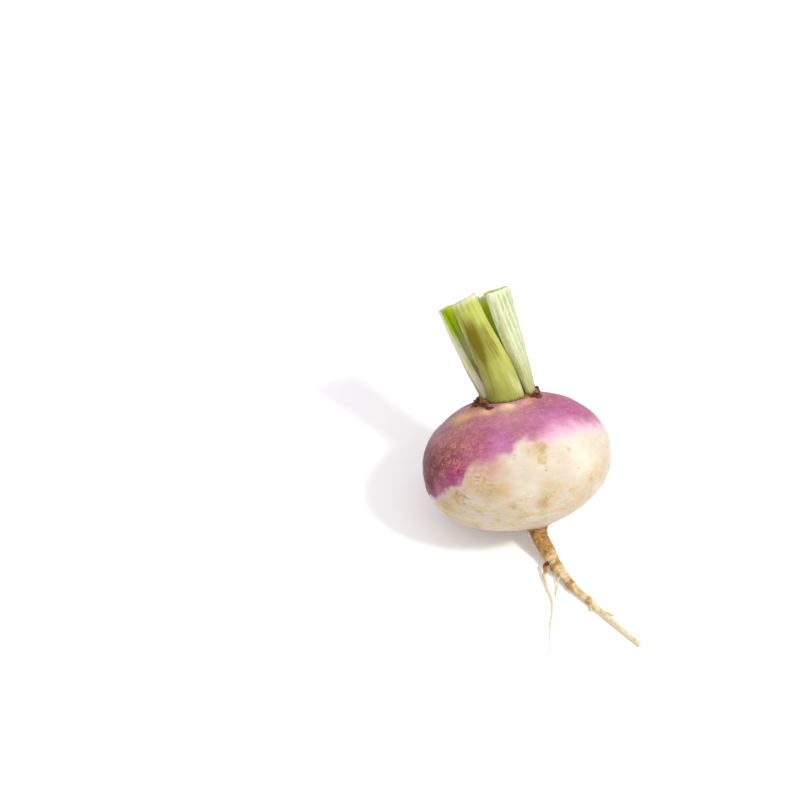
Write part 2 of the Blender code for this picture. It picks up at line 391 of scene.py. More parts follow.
@dataclass(frozen=True)
class SkinFinish:
    """The turnip's skin: purple round the crown, cream below, corky at the crown and brown on the roots.

    The purple and the cream come from the mesh as washes of colour, and this material mottles and joins them.
    """

    fringe: Colour = tint(248, 198, 218)
    net: Colour = tint(214, 154, 130)
    dark_net: Colour = tint(128, 58, 62)
    pale_fleck: Colour = tint(230, 184, 188)
    stain: Colour = tint(182, 148, 96)
    ochre: Colour = tint(202, 174, 120)
    grey: Colour = tint(206, 192, 170)
    speck: Colour = tint(136, 92, 52)
    dark_tan: Colour = tint(172, 120, 90)
    light_tan: Colour = tint(238, 206, 164)
    chalk: Colour = tint(240, 234, 220)
    rim: Colour = tint(206, 176, 206)
    cork: Stops = (
        (0.25, tint(140, 90, 58)),
        (0.50, tint(190, 140, 98)),
        (0.75, tint(214, 172, 132)),
    )
    # The old leaves' hollows round the crown: dark brown, partly their own colour and partly painted shade
    scar: Colour = tint(98, 52, 44)
    root: Stops = (
        (0.00, tint(92, 56, 26)),
        (0.20, tint(150, 104, 54)),
        (0.42, tint(184, 138, 82)),
        (0.62, tint(210, 174, 120)),
        (0.82, tint(232, 210, 168)),
        (1.00, tint(240, 224, 190)),
    )

    def make(self) -> bpy.types.Material:
        """Makes the skin's material.

        Returns:
            The material, for the bulb and for its roots.
        """
        box = Paintbox("turnip_skin", 0.13)
        place, around = box.place(), box.vector_of("around")
        streaks = box.grain(box.scaled(around, (9.0, 9.0, 1.2)), 1.0, 4.0, 0.6)
        bands = box.grain(box.scaled(around, (3.5, 3.5, 30.0)), 1.0, 3.0, 0.6)
        broad = box.grain(place, 90, 3.0)
        middle = box.grain(place, 260, 4.0, 0.6)
        fine = box.grain(place, 900, 3.0, 0.65)
        grains = Grains(place, around, bands, broad, middle, fine)

        # How far over the purple's edge a point is, in half widths of that edge
        uneven = (broad, 7.0), (streaks, 0.2), (middle, 4.6), (fine, 1.3)
        above = box.sum((box.value_of("purple"), 1.0), *uneven, (-6.65, 1.0))
        edge = box.node("ShaderNodeMath", 0, {0: above, 1: box.value_of("softness")}, operation="DIVIDE")
        bare = box.ease(box.value_of("stain"), 0.1, 0.9, 1.0, 0.0)
        blush = box.times(box.times(box.ease(edge, -1.7, 0.0), box.value_of("blush")), bare)
        colour = box.mix(self.pale_part(box, grains), self.fringe, blush)
        frayed = box.times(box.value_of("lilac"), box.ease(broad, 0.40, 0.56))
        colour = box.mix(colour, self.rim, box.times(box.ease(edge, -1.9, -0.6), frayed))
        colour = box.mix(colour, self.purple_part(box, grains), box.ease(edge, -1.0, 1.0))

        crust = box.ramp(box.sum((middle, 0.7), (fine, 0.5), (-0.12, 1.0)), self.cork)
        uneven = (middle, 1.5), (streaks, 0.8), (-1.15, 1.0)
        corky = box.ease(box.sum((box.value_of("cork"), 1.0), *uneven), 0.25, 0.75)
        colour = box.mix(colour, crust, box.times(corky, 0.85))
        # The hollows round the crown darkened: partly their own brown, partly painted shade
        ragged = box.sum((box.value_of("scar"), 1.0), (middle, 0.7), (fine, 0.4), (-0.55, 1.0))
        colour = box.mix(colour, self.scar, box.ease(ragged, 0.20, 0.95))

        fibres = box.grain(box.scaled(around, (7.0, 7.0, 2.0)), 1.0, 4.0, 0.7)
        tones = box.sum((box.value_of("age"), 1.0), (middle, 0.75), (fine, 0.60), (fibres, 1.0), (-1.175, 1.0))
        bark = box.ramp(tones, self.root)
        bark = box.mix(bark, self.root[0][1], box.times(box.value_of("crease"), 0.36))
        rooty = box.value_of("rooty")
        colour = box.mix(colour, bark, box.ease(box.sum((rooty, 1.0), (middle, 0.5), (-0.25, 1.0)), 0.3, 0.7))

        gloss = box.sum((fine, 0.18), (corky, 0.16), (rooty, 0.14), (0.38, 1.0))
        height = box.sum((fine, 0.5), (middle, 0.5), (bands, 0.35))
        return box.finish(colour, gloss, height, 0.00022, 0.05)

    def purple_part(self, box: Paintbox, grains: Grains) -> Socket:
        """The colour of the purple half.

        Args:
            box: the material under construction.
            grains: the mottlings.

        Returns:
            The colour.
        """
        broad, middle, fine = grains.broad, grains.middle, grains.fine
        tone = box.sum((broad, 0.34), (middle, 0.36), (fine, 0.34), (grains.bands, 0.56), (0.20, 1.0))
        colour = box.mix(box.vector_of("purple_tone"), tone, 1.0, "MULTIPLY")
        lines = box.grain(box.scaled(grains.around, (8.0, 8.0, 62.0)), 1.0, 3.0, 0.6)
        light = box.ease(box.sum((lines, 0.7), (middle, 0.3)), 0.52, 0.68)
        colour = box.mix(colour, self.pale_fleck, box.times(light, 0.24))
        russet = box.value_of("russet")
        speckle = box.grain(grains.place, 950, 2.0, 0.6)
        flecks = box.ease(box.sum((speckle, 0.40), (middle, 0.50), (fine, 0.35)), 0.57, 0.74)
        colour = box.mix(colour, self.net, box.times(russet, box.times(flecks, 0.52)))
        pits = box.ease(box.sum((speckle, 0.6), (broad, 0.4)), 0.43, 0.36)
        colour = box.mix(colour, self.dark_net, box.times(russet, box.times(pits, 0.40)))
        dots = box.ease(box.cells(grains.place, 300), 0.02, 0.11, 1.0, 0.0)
        return box.mix(colour, self.pale_fleck, box.times(dots, 0.30))

    def pale_part(self, box: Paintbox, grains: Grains) -> Socket:
        """The colour of the cream half.

        Args:
            box: the material under construction.
            grains: the mottlings.

        Returns:
            The colour.
        """
        broad, middle, fine = grains.broad, grains.middle, grains.fine
        tone = box.sum((broad, 0.36), (middle, 0.32), (fine, 0.20), (grains.bands, 0.16), (0.48, 1.0))
        colour = box.mix(box.vector_of("pale_tone"), tone, 1.0, "MULTIPLY")
        low = box.value_of("low")
        chalky = box.times(box.ease(box.sum((broad, 0.4), (middle, 0.6)), 0.52, 0.64), low)
        colour = box.mix(colour, self.chalk, box.times(chalky, 0.55))
        drawn = box.grain(box.scaled(grains.around, (6.0, 6.0, 34.0)), 1.0, 4.0, 0.65)
        dusky = box.ease(box.sum((drawn, 0.6), (broad, 0.5)), 0.53, 0.66)
        colour = box.mix(colour, self.grey, box.times(box.times(dusky, low), 0.60))
        cloud = box.ease(box.sum((middle, 0.80), (drawn, 0.25), (fine, 0.30)), 0.60, 0.84)
        colour = box.mix(colour, self.ochre, box.times(cloud, box.sum((low, 0.52), (0.24, 1.0))))
        marks = box.sum((box.value_of("stain"), 0.62), (middle, 1.2), (fine, 1.2), (-1.20, 1.0))
        colour = box.mix(colour, self.stain, box.times(box.ease(marks, 0.16, 0.90), 0.80))
        russet = box.value_of("russet")
        dashes = box.grain(box.scaled(grains.place, (1.0, 1.0, 1.6)), 620, 2.0, 0.6)
        colour = box.mix(colour, self.dark_tan, box.times(russet, box.ease(dashes, 0.50, 0.62, 0.0, 0.70)))
        colour = box.mix(colour, self.light_tan, box.times(russet, box.ease(dashes, 0.48, 0.38, 0.0, 0.55)))
        dots = box.ease(box.cells(grains.place, 250), 0.05, 0.15, 1.0, 0.0)
        specks = box.times(dots, box.ease(middle, 0.50, 0.60))
        return box.mix(colour, self.speck, box.times(specks, 0.62))


@dataclass(frozen=True)
class StalkFinish:
    """A cut leaf stalk: its ribbed back, its channel, its foot, its cut face and its stain."""

    name: str
    back: Colour = tint(168, 178, 88)
    furrow: Colour = tint(132, 150, 62)
    rib: Colour = tint(216, 222, 170)
    channel: Colour = tint(140, 176, 30)
    deep_channel: Colour = tint(96, 138, 24)
    foot: Colour = tint(176, 180, 96)
    # A dark line round the stalk's foot where it meets the bulb: painted shade
    painted_foot_shade: Colour = tint(120, 84, 44)
    margin: Colour = tint(232, 234, 204)
    pith: Colour = tint(186, 212, 110)
    rim: Colour = tint(226, 228, 184)
    stain: Colour = tint(126, 108, 6)
    rust: Colour = tint(140, 96, 40)
    rib_share: float = 0.55
    rust_share: float = 0.9
    dash: Colour = tint(146, 158, 132)
    dash_share: float = 0.25
    tip: Colour = tint(232, 234, 196)

    def make(self) -> bpy.types.Material:
        """Makes this stalk's material.

        Returns:
            The material.
        """
        box = Paintbox(self.name, 0.18)
        place = box.place()
        along, inner = box.value_of("along"), box.value_of("inner")
        drawn = box.node("ShaderNodeCombineXYZ", 0, {0: box.value_of("across"), 1: along, 2: inner})
        threads = box.grain(box.scaled(drawn, (11.0, 1.3, 5.0)), 1.0, 4.0, 0.65)
        strands = box.grain(box.scaled(drawn, (30.0, 2.2, 9.0)), 1.0, 2.0, 0.5)
        broad = box.grain(place, 130, 2.0)
        fine = box.grain(place, 900, 2.0)

        colour = box.mix(self.back, self.furrow, box.ease(box.sum((threads, 0.7), (broad, 0.5)), 0.50, 0.76))
        raised = box.ease(box.sum((box.value_of("rib"), 0.4), (threads, 1.0)), 0.52, 0.95)
        colour = box.mix(colour, self.rib, box.times(raised, self.rib_share))
        short = box.grain(box.scaled(drawn, (15.0, 15.0, 5.0)), 1.0, 2.0, 0.5)
        colour = box.mix(colour, self.dash, box.times(box.ease(short, 0.54, 0.68), self.dash_share))
        foot = box.ease(box.sum((along, 1.0), (threads, 0.2)), 0.12, 0.60, 0.85, 0.0)
        colour = box.mix(colour, self.foot, foot)
        fold = box.times(box.value_of("pale"), box.ease(threads, 0.20, 0.62))
        colour = box.mix(colour, self.margin, fold)
        blot = box.sum((box.value_of("stain"), 1.0), (threads, 0.70), (broad, 0.50), (-0.60, 1.0))
        colour = box.mix(colour, self.stain, box.ease(blot, 0.05, 1.05))
        rusty = box.sum((box.value_of("rust"), 1.0), (threads, 0.5), (fine, 0.3), (-0.42, 1.0))
        colour = box.mix(colour, self.rust, box.times(box.ease(rusty, 0.15, 0.80), self.rust_share))
        top = box.ease(box.sum((along, 1.0), (threads, 0.10)), 0.98, 1.05)
        colour = box.mix(colour, self.tip, box.times(top, 0.75))
        inside = box.mix(self.deep_channel, self.channel, box.ease(strands, 0.35, 0.62))
        faded = box.ease(box.sum((along, 1.0), (threads, 0.35)), 0.66, 1.00, 1.0, 0.0)
        stripes = box.ease(box.sum((threads, 0.6), (strands, 0.5)), 0.52, 0.66)
        inside = box.mix(inside, box.mix(self.margin, self.furrow, stripes), faded)
        colour = box.mix(colour, inside, inner)
        colour = box.mix(colour, self.margin, box.times(box.value_of("margin"), 0.85))
        # A dark band at the very foot of the stalk: painted shade where it meets the bulb
        line = box.ease(box.sum((along, 1.0), (threads, 0.08)), 0.040, 0.080, 1.0, 0.0)
        colour = box.mix(colour, self.painted_foot_shade, line)
        cut = box.mix(self.pith, self.rim, box.ease(box.sum((fine, 0.8), (broad, 0.4)), 0.50, 0.72))
        colour = box.mix(colour, cut, box.value_of("cut"))
        height = box.sum((threads, 0.7), (strands, 0.6), (fine, 0.2))
        return box.finish(colour, box.sum((fine, 0.2), (0.40, 1.0)), height, 0.00022, 0.08)


@dataclass(frozen=True)
class PlainFinish:
    """A small dry thing, such as a root hair or a leaf scar: one colour that drifts into a second."""

    name: str
    colour: Colour
    second: Colour
    scale: float = 500.0
    gloss: float = 0.6

    def make(self) -> bpy.types.Material:
        """Makes this finish's material.

        Returns:
            The material.
        """
        box = Paintbox(self.name)
        drift = box.grain(box.place(), self.scale, 3.0)
        colour = box.mix(self.colour, self.second, box.ease(drift, 0.38, 0.62))
        return box.finish(colour, self.gloss, drift, 0.0001)


# Small shapes that Geometry Nodes repeat


class Ground(Enum):
    """What the repeated shape is set on."""

    POINTS = "one at each of the ground's points"
    SURFACE = "strewn over the ground's faces"


@dataclass(frozen=True)
class Strewing:
    """Geometry Nodes that set one small shape over a ground again and again."""

    name: str
    ground: Ground
    seed: int
    density: float = 0.0
    least: float = 0.7
    most: float = 1.2
    sway: float = 0.3

    def tree(self) -> bpy.types.NodeTree:
        """Builds the node tree.

        Returns:
            The tree, with named inputs for the ground, the shape, the sizes and the material.
        """
        group = bpy.data.node_groups.new(self.name, "GeometryNodeTree")
        inputs = (
            ("Ground", "NodeSocketGeometry"),
            ("Shape", "NodeSocketObject"),
            ("Density", "NodeSocketFloat"),
            ("Least size", "NodeSocketFloat"),
            ("Most size", "NodeSocketFloat"),
            ("Sway", "NodeSocketFloat"),
            ("Seed", "NodeSocketInt"),
            ("Material", "NodeSocketMaterial"),
        )
        for name, kind in inputs:
            group.interface.new_socket(name=name, in_out="INPUT", socket_type=kind)
        group.interface.new_socket(name="Strewn", in_out="OUTPUT", socket_type="NodeSocketGeometry")
        nodes, link = group.nodes, group.links.new
        given, made = nodes.new("NodeGroupInput"), nodes.new("NodeGroupOutput")

        copies = nodes.new("GeometryNodeInstanceOnPoints")
        if self.ground is Ground.SURFACE:
            strew = nodes.new("GeometryNodeDistributePointsOnFaces")
            link(given.outputs["Ground"], strew.inputs["Mesh"])
            link(given.outputs["Density"], strew.inputs["Density"])
            link(given.outputs["Seed"], strew.inputs["Seed"])
            link(strew.outputs["Points"], copies.inputs["Points"])
            standing = strew.outputs["Rotation"]
        else:
            link(given.outputs["Ground"], copies.inputs["Points"])
            standing = None
            for axis, name in (("Z", "facing"), ("X", "heading")):
                align = nodes.new("FunctionNodeAlignRotationToVector")
                align.axis = axis
                align.pivot_axis = "AUTO" if axis == "Z" else "Z"
                stored = nodes.new("GeometryNodeInputNamedAttribute")
                stored.data_type = "FLOAT_VECTOR"
                stored.inputs["Name"].default_value = name
                link(stored.outputs["Attribute"], align.inputs["Vector"])
                if standing:
                    link(standing, align.inputs["Rotation"])
                standing = align.outputs["Rotation"]

        swing = nodes.new("FunctionNodeRandomValue")
        swing.data_type = "FLOAT_VECTOR"
        spread = nodes.new("ShaderNodeCombineXYZ")
        back = nodes.new("ShaderNodeVectorMath")
        back.operation = "SCALE"
        back.inputs["Scale"].default_value = -1.0
        spin = nodes.new("ShaderNodeMath")
        spin.operation = "MULTIPLY"
        link(given.outputs["Sway"], spread.inputs[0])
        link(given.outputs["Sway"], spread.inputs[1])
        if self.ground is Ground.SURFACE:
            spin.inputs[0].default_value, spin.inputs[1].default_value = 1.0, math.pi
        else:
            spin.inputs[1].default_value = 0.5
            link(given.outputs["Sway"], spin.inputs[0])
        link(spin.outputs[0], spread.inputs[2])
        link(spread.outputs[0], back.inputs[0])
        link(back.outputs[0], swing.inputs[0])
        link(spread.outputs[0], swing.inputs[1])
        link(given.outputs["Seed"], swing.inputs["Seed"])
        euler = nodes.new("FunctionNodeEulerToRotation")
        rotate = nodes.new("FunctionNodeRotateRotation")
        rotate.rotation_space = "LOCAL"
        link(swing.outputs[0], euler.inputs[0])
        link(standing, rotate.inputs["Rotation"])
        link(euler.outputs[0], rotate.inputs["Rotate By"])
        link(rotate.outputs[0], copies.inputs["Rotation"])

        size = nodes.new("FunctionNodeRandomValue")
        size.data_type = "FLOAT"
        link(given.outputs["Least size"], size.inputs[2])
        link(given.outputs["Most size"], size.inputs[3])
        link(given.outputs["Seed"], size.inputs["Seed"])
        link(size.outputs[1], copies.inputs["Scale"])

        shape = nodes.new("GeometryNodeObjectInfo")
        link(given.outputs["Shape"], shape.inputs["Object"])
        link(shape.outputs["Geometry"], copies.inputs["Instance"])
        real = nodes.new("GeometryNodeRealizeInstances")
        dress = nodes.new("GeometryNodeSetMaterial")
        link(copies.outputs["Instances"], real.inputs["Geometry"])
        link(real.outputs["Geometry"], dress.inputs["Geometry"])
        link(given.outputs["Material"], dress.inputs["Material"])
        link(dress.outputs["Geometry"], made.inputs["Strewn"])
        return group

    def run(
        self, ground: bpy.types.Mesh, shape: bpy.types.Mesh, material: bpy.types.Material
    ) -> bpy.types.Object:
        """Strews the shape and gives back one plain mesh object.

        Args:
            ground: the mesh that the shape is set on. On POINTS, it stores "facing" and "heading" vectors.
            shape: the mesh that is repeated.
            material: what the copies are made of.

        Returns:
            The object that holds every copy.
        """
        group = self.tree()
        carrier = bpy.data.objects.new(self.name, ground.copy())
        pattern = bpy.data.objects.new(self.name + "_pattern", shape)
        for obj in (carrier, pattern):
            bpy.context.scene.collection.objects.link(obj)
        modifier = carrier.modifiers.new("strew", "NODES")
        modifier.node_group = group
        values = {
            "Shape": pattern,
            "Density": self.density,
            "Least size": self.least,
            "Most size": self.most,
            "Sway": self.sway,
            "Seed": self.seed,
            "Material": material,
        }
        for item in group.interface.items_tree:
            if item.in_out == "INPUT" and item.name in values:
                modifier[item.identifier] = values[item.name]
        graph = bpy.context.evaluated_depsgraph_get()
        made = bpy.data.meshes.new_from_object(carrier.evaluated_get(graph))
        carrier.modifiers.clear()
        bpy.data.objects.remove(pattern)
        bpy.data.objects.remove(carrier)
        made.shade_smooth()
        return new_piece(self.name, made, material)


Stations = list[tuple[float, float, float, float]]


def loft(name: str, length: float, stations: Stations, sides: int = 8) -> bpy.types.Mesh:
    """A small closed shape that stands along +Z.

    Args:
        name: the mesh's name.
        length: how tall it is.
        stations: for each ring, its share of the height, its half width along X, its half depth along Y, and
            how far its middle is moved along X. All but the first are in metres.
        sides: how many points a ring has.

    Returns:
        The mesh.
    """
    turn = np.linspace(0, 2 * math.pi, sides, endpoint=False)
    rings = [
        np.stack([half * np.cos(turn) + lean, depth * np.sin(turn), np.full(sides, share * length)], axis=-1)
        for share, half, depth, lean in stations
    ]
    return closed_mesh(name, [np.array(rings)])


# The turnip


@dataclass(frozen=True)
class GrowingAxis:
    """The bulb's own frame: x to its front, y to its right and z to its crown."""

    lean: float = math.radians(31.0)
    heading: float = math.radians(20.0)
    middle: tuple[float, float, float] = (0.003962, -0.011108, 0.031016)

    def turn(self) -> np.ndarray:
        """How the frame is turned.

        Returns:
            A rotation with the frame's front, right and up as its columns.
        """
        flat = math.sin(self.lean)
        up = np.array([-flat * math.sin(self.heading), flat * math.cos(self.heading), math.cos(self.lean)])
        front = np.array([0.0, -1.0, 0.0])
        front = unit(front - front.dot(up) * up)
        return np.stack([front, np.cross(up, front), up], axis=1)

    def to_row(self, points: np.ndarray) -> np.ndarray:
        """Points of the bulb's frame in the row frame."""
        return points @ self.turn().T + np.array(self.middle)

    def to_bulb(self, points: np.ndarray) -> np.ndarray:
        """Points of the row frame in the bulb's frame."""
        return (points - np.array(self.middle)) @ self.turn()


@dataclass(frozen=True)
class Mark:
    """A mark on the skin, by its place in the bulb's frame, its size and its strength."""

    front_mm: float
    right_mm: float
    up_mm: float
    size_mm: float
    strength: float = 1.0

    def over(self, points: np.ndarray) -> np.ndarray:
        """How strong the mark is at each point of the bulb's frame."""
        away = np.linalg.norm(points / MM - (self.front_mm, self.right_mm, self.up_mm), axis=-1)
        return self.strength * np.exp(-((away / self.size_mm) ** 2))


@dataclass(frozen=True)
class Wash:
    """A patch of the skin that has its own colour, with red, green and blue from 0 to 255."""

    red: int
    green: int
    blue: int
    front_mm: float
    right_mm: float
    up_mm: float
    size_mm: float
    strength: float = 1.0

    def over(self, points: np.ndarray) -> np.ndarray:
        """How strong the wash is at each point of the bulb's frame."""
        return Mark(self.front_mm, self.right_mm, self.up_mm, self.size_mm, self.strength).over(points)


def overlay(marks: tuple[Mark, ...], points: np.ndarray) -> np.ndarray:
    """All the marks together, kept between 0 and 1."""
    return np.clip(sum(mark.over(points) for mark in marks), 0.0, 1.0)


def wash_over(ground: tuple[int, int, int], washes: tuple[Wash, ...], points: np.ndarray) -> np.ndarray:
    """A ground colour with washes laid over it one after the other.

    Args:
        ground: the colour where no wash reaches.
        washes: the patches of other colours.
        points: points of the bulb's frame.

    Returns:
        A linear colour for each point.
    """
    colours = np.repeat(np.array([tint(*ground)[:3]]), len(points), axis=0)
    for patch in washes:
        share = patch.over(points)[:, None]
        colours = colours * (1 - share) + share * np.array(tint(patch.red, patch.green, patch.blue)[:3])
    return colours


@dataclass(frozen=True)
class Unevenness:
    """Seeded unevenness: how long its features are, how many finer layers it has, and how high it is."""

    size: float
    octaves: int
    seed: int
    height: float = 1.0

    def over(self, points: np.ndarray) -> np.ndarray:
        """Its height at each point."""
        return rough(points, self.size, self.octaves, self.seed) * self.height


@dataclass
class Bulb:
    """The swollen root: a flattened ball with a stem disc and a corky collar at its crown."""

    axis: GrowingAxis
    radius: float = 0.0400
    half_height: float = 0.0278
    mean_radius: float = 0.030
    squareness: float = 2.11
    equator_shift: float = 0.0010
    # How many lobes go round, how much each set swells the bulb, and how it is turned
    lobes: tuple[tuple[int, float, float], ...] = ((2, 0.010, 0.6), (3, 0.007, 2.1), (5, 0.004, 4.0))
    # The crown: its stem disc, the groove and the collar round that, and where the shoulder begins
    disc_middle: tuple[float, float, float] = (-0.0012, 0.0015, 0.0281)
    disc_tip: float = math.radians(4)
    disc_radius: float = 0.0119
    groove_radius: float = 0.0126
    groove_depth: float = 0.0007
    groove_width: float = 0.0007
    collar_radius: float = 0.0140
    collar_width: float = 0.0014
    collar_height: float = 0.0008
    collar_lumps: int = 9
    shoulder_radius: float = 0.0165
    crown_reach: float = 0.0184
    segments: int = 320
    crown_rings: int = 72
    body_rings: int = 190
    # The tap root's first stretch, how the base is drawn out to it, and how far its bark has crept
    root_foot: tuple[float, float, float] = (0.0098, -0.0190, 0.0165)
    root_ahead: tuple[float, float, float] = (0.0166, -0.0384, 0.0052)
    swell: float = 0.0018
    swell_reach: float = 0.0060
    bark_start: float = 0.0030
    bark_end: float = 0.0062
    lumps: Unevenness = Unevenness(0.015, 2, 1, 0.00040)
    dents: Unevenness = Unevenness(0.0048, 3, 2, 0.00012)
    rings: Unevenness = Unevenness(0.0016, 3, 3)
    crust: Unevenness = Unevenness(0.0013, 3, 4, 0.00030)
    torn: Unevenness = Unevenness(0.0016, 3, 8)
    # How high the fine rings stand everywhere, and how much more low down
    ring_height: float = 0.00005
    low_ring_height: float = 0.00007
    ring_radius: float = 0.012
    scar_depth: float = 0.00055
    scar_tear: float = 0.0005
    # How much of the unevenness the stem disc lacks
    disc_calm: float = 0.8
    # Azimuth from the front to the right in degrees, and the height of the purple's lower edge there
    purple_edge: tuple[tuple[float, float], ...] = (
        (-180, 3.0), (-120, -4.5), (-85, -7.0), (-57, -4.8), (-50, -2.8), (-44, -0.6), (-30, 1.8), (-26.5, 8.0),
        (-23, 10.4), (-12, 11.0), (-5, 12.0), (3, 12.9), (8, 15.3), (11, 16.6), (26, 16.0), (40, 16.9),
        (58, 16.4), (85, 11.3), (125, 7.5),
    )
    # By azimuth too: half the width of that edge, and how far out the cork reaches, in mm
    edge_softness: tuple[tuple[float, float], ...] = (
        (-180, 2.4), (-60, 1.2), (-30, 1.1), (-18, 3.2), (-4, 2.2), (8, 1.8), (20, 2.6), (38, 4.4), (90, 3.6),
    )
    cork_reach: tuple[tuple[float, float], ...] = (
        (-180, 15.5), (-120, 16.0), (-68, 17.5), (-46, 16.0), (-30, 12.4), (-10, 11.2), (30, 11.2), (50, 13.6),
        (72, 16.0), (110, 15.8),
    )
    purple_ground: tuple[int, int, int] = (180, 108, 134)
    purple_washes: tuple[Wash, ...] = (
        # The open purple, from the left over the violet middle to the right shoulder
        Wash(174, 92, 122, 30.0, -12.0, 17.0, 9.0),
        Wash(196, 118, 168, 33.5, -2.0, 16.0, 6.5),
        Wash(202, 140, 152, 21.0, 2.0, 24.2, 7.0, 0.8),
        Wash(196, 120, 164, 20.0, 21.0, 20.0, 9.0),
        Wash(186, 92, 142, 7.0, 28.0, 20.0, 10.0),
        Wash(164, 96, 116, 12.5, 15.5, 24.2, 4.2, 0.9),
        Wash(158, 84, 84, 2.0, 18.5, 25.2, 5.5, 0.9),
        # The rose left of the middle, and beyond it the maroon left limb, its own colour darkened further with
        # painted shade of the bulb's shaded side
        Wash(172, 80, 122, 31.8, -10.0, 16.5, 4.4, 0.8),
        Wash(172, 102, 104, 27.0, -20.0, 16.0, 6.5),
        Wash(160, 88, 92, 27.0, -25.5, 12.0, 5.5),
        Wash(92, 26, 30, 21.0, -34.5, 4.0, 10.5),
        Wash(108, 50, 52, 12.0, -38.0, 8.0, 9.0),
        Wash(104, 10, 14, 23.4, -32.0, 5.0, 5.6, 0.85),
        # The magenta patch at the lower left, and the paler skin round it
        Wash(156, 34, 96, 33.4, -21.3, 7.0, 5.2),
        Wash(162, 76, 92, 29.5, -22.5, 12.0, 3.6, 0.8),
        Wash(160, 72, 98, 26.0, -30.0, 1.0, 4.0, 0.8),
        Wash(192, 126, 158, 35.4, -20.0, 2.4, 2.4, 0.9),
        Wash(176, 120, 142, 26.5, -31.0, -2.2, 3.2, 0.8),
        # The tan, ochre, grey and peach patches of the shoulder round the crown
        Wash(196, 146, 122, 12.5, -19.0, 23.0, 6.5),
        Wash(232, 184, 116, 9.5, -17.0, 24.6, 5.0, 0.95),
        Wash(186, 128, 76, 7.2, -14.4, 25.8, 2.4, 0.95),
        # Grey on the left edge of the shoulder: partly the skin's own grey, partly painted sheen
        Wash(158, 132, 132, 2.0, -28.0, 20.0, 7.0, 0.9),
        Wash(244, 208, 168, 14.8, 2.2, 26.2, 3.8, 0.95),
        Wash(232, 190, 142, 13.6, -6.8, 26.0, 4.2, 0.95),
        Wash(214, 160, 138, 11.4, 9.0, 26.2, 3.0, 0.8),
        Wash(206, 140, 92, 2.4, 14.6, 26.0, 2.4, 0.9),
        Wash(196, 118, 78, 7.8, 11.6, 26.4, 2.4, 0.95),
        # The rear, out of view
        Wash(170, 96, 130, -20.0, 26.0, 14.0, 14.0, 0.7),
        Wash(150, 84, 104, -24.0, -20.0, 14.0, 14.0, 0.8),
    )
    pale_ground: tuple[int, int, int] = (222, 209, 192)
    pale_washes: tuple[Wash, ...] = (
        # The broad cream
        Wash(222, 208, 184, 30.0, 0.0, -16.0, 17.0, 0.9),
        Wash(234, 224, 206, 28.0, 26.0, 8.0, 11.0, 0.8),
        Wash(212, 198, 178, 37.0, 15.0, 4.0, 8.0, 0.7),
        Wash(208, 195, 175, 40.0, 6.5, 3.5, 6.5, 0.85),
        Wash(212, 198, 180, 34.0, 21.0, 5.5, 5.0, 0.7),
        # The pink flush under the purple's left end
        Wash(204, 154, 136, 38.5, -7.0, 8.6, 5.6, 0.95),
        Wash(206, 156, 136, 36.0, -14.5, 6.6, 4.6, 0.95),
        Wash(210, 172, 140, 37.0, -15.0, 0.8, 4.6, 0.8),
        # The brown stains of the left half, and the greyer cream between them
        Wash(188, 163, 112, 40.0, -8.5, -1.2, 4.8, 0.9),
        Wash(206, 170, 126, 40.7, -4.0, -1.4, 3.6, 0.9),
        Wash(196, 164, 118, 27.0, -28.5, -7.5, 6.0, 0.95),
        Wash(184, 140, 118, 34.0, -22.2, -2.6, 3.0, 0.9),
        Wash(208, 172, 132, 31.0, -24.0, -3.6, 4.5, 0.8),
        Wash(214, 201, 178, 35.0, -18.0, -8.0, 6.0, 0.9),
        Wash(204, 193, 172, 38.0, -7.0, -9.5, 5.5, 0.85),
        # The golden patch of the right half, and the stains under it
        Wash(206, 172, 128, 34.0, 13.2, 12.6, 4.2, 0.9),
        Wash(222, 208, 164, 36.5, 12.5, 9.0, 3.4, 0.8),
        Wash(190, 156, 108, 36.8, 12.2, -9.6, 4.6, 0.95),
        Wash(200, 172, 130, 37.8, 14.0, -4.0, 3.6, 0.8),
        Wash(208, 192, 164, 35.3, 19.0, -6.0, 5.0, 0.8),
        Wash(202, 176, 140, 38.8, -0.8, -9.5, 3.6, 0.8),
        Wash(204, 178, 140, 35.5, 1.0, -14.5, 3.6, 0.7),
        # The tan sides, partly tan skin and partly painted shade low on the right and at the edges, and the
        # ochre line low on the left
        Wash(206, 190, 160, 26.0, 24.0, -13.5, 9.0, 0.9),
        Wash(214, 188, 146, 24.0, 31.8, -6.0, 4.6, 0.9),
        Wash(208, 184, 146, 14.0, 37.6, -2.0, 5.0, 0.8),
        Wash(206, 180, 140, 6.0, -36.0, -9.0, 9.0, 0.8),
        Wash(186, 154, 98, 22.0, -28.0, -14.0, 4.0, 0.8),
        Wash(190, 162, 108, 25.0, -20.0, -18.6, 4.0, 0.7),
        # The rear and the base, out of view
        Wash(214, 188, 150, -22.0, 28.0, -8.0, 12.0, 0.7),
        Wash(208, 184, 146, -34.0, -10.0, -6.0, 12.0, 0.7),
        Wash(204, 176, 134, 12.0, -6.0, -26.0, 11.0, 0.8),
    )
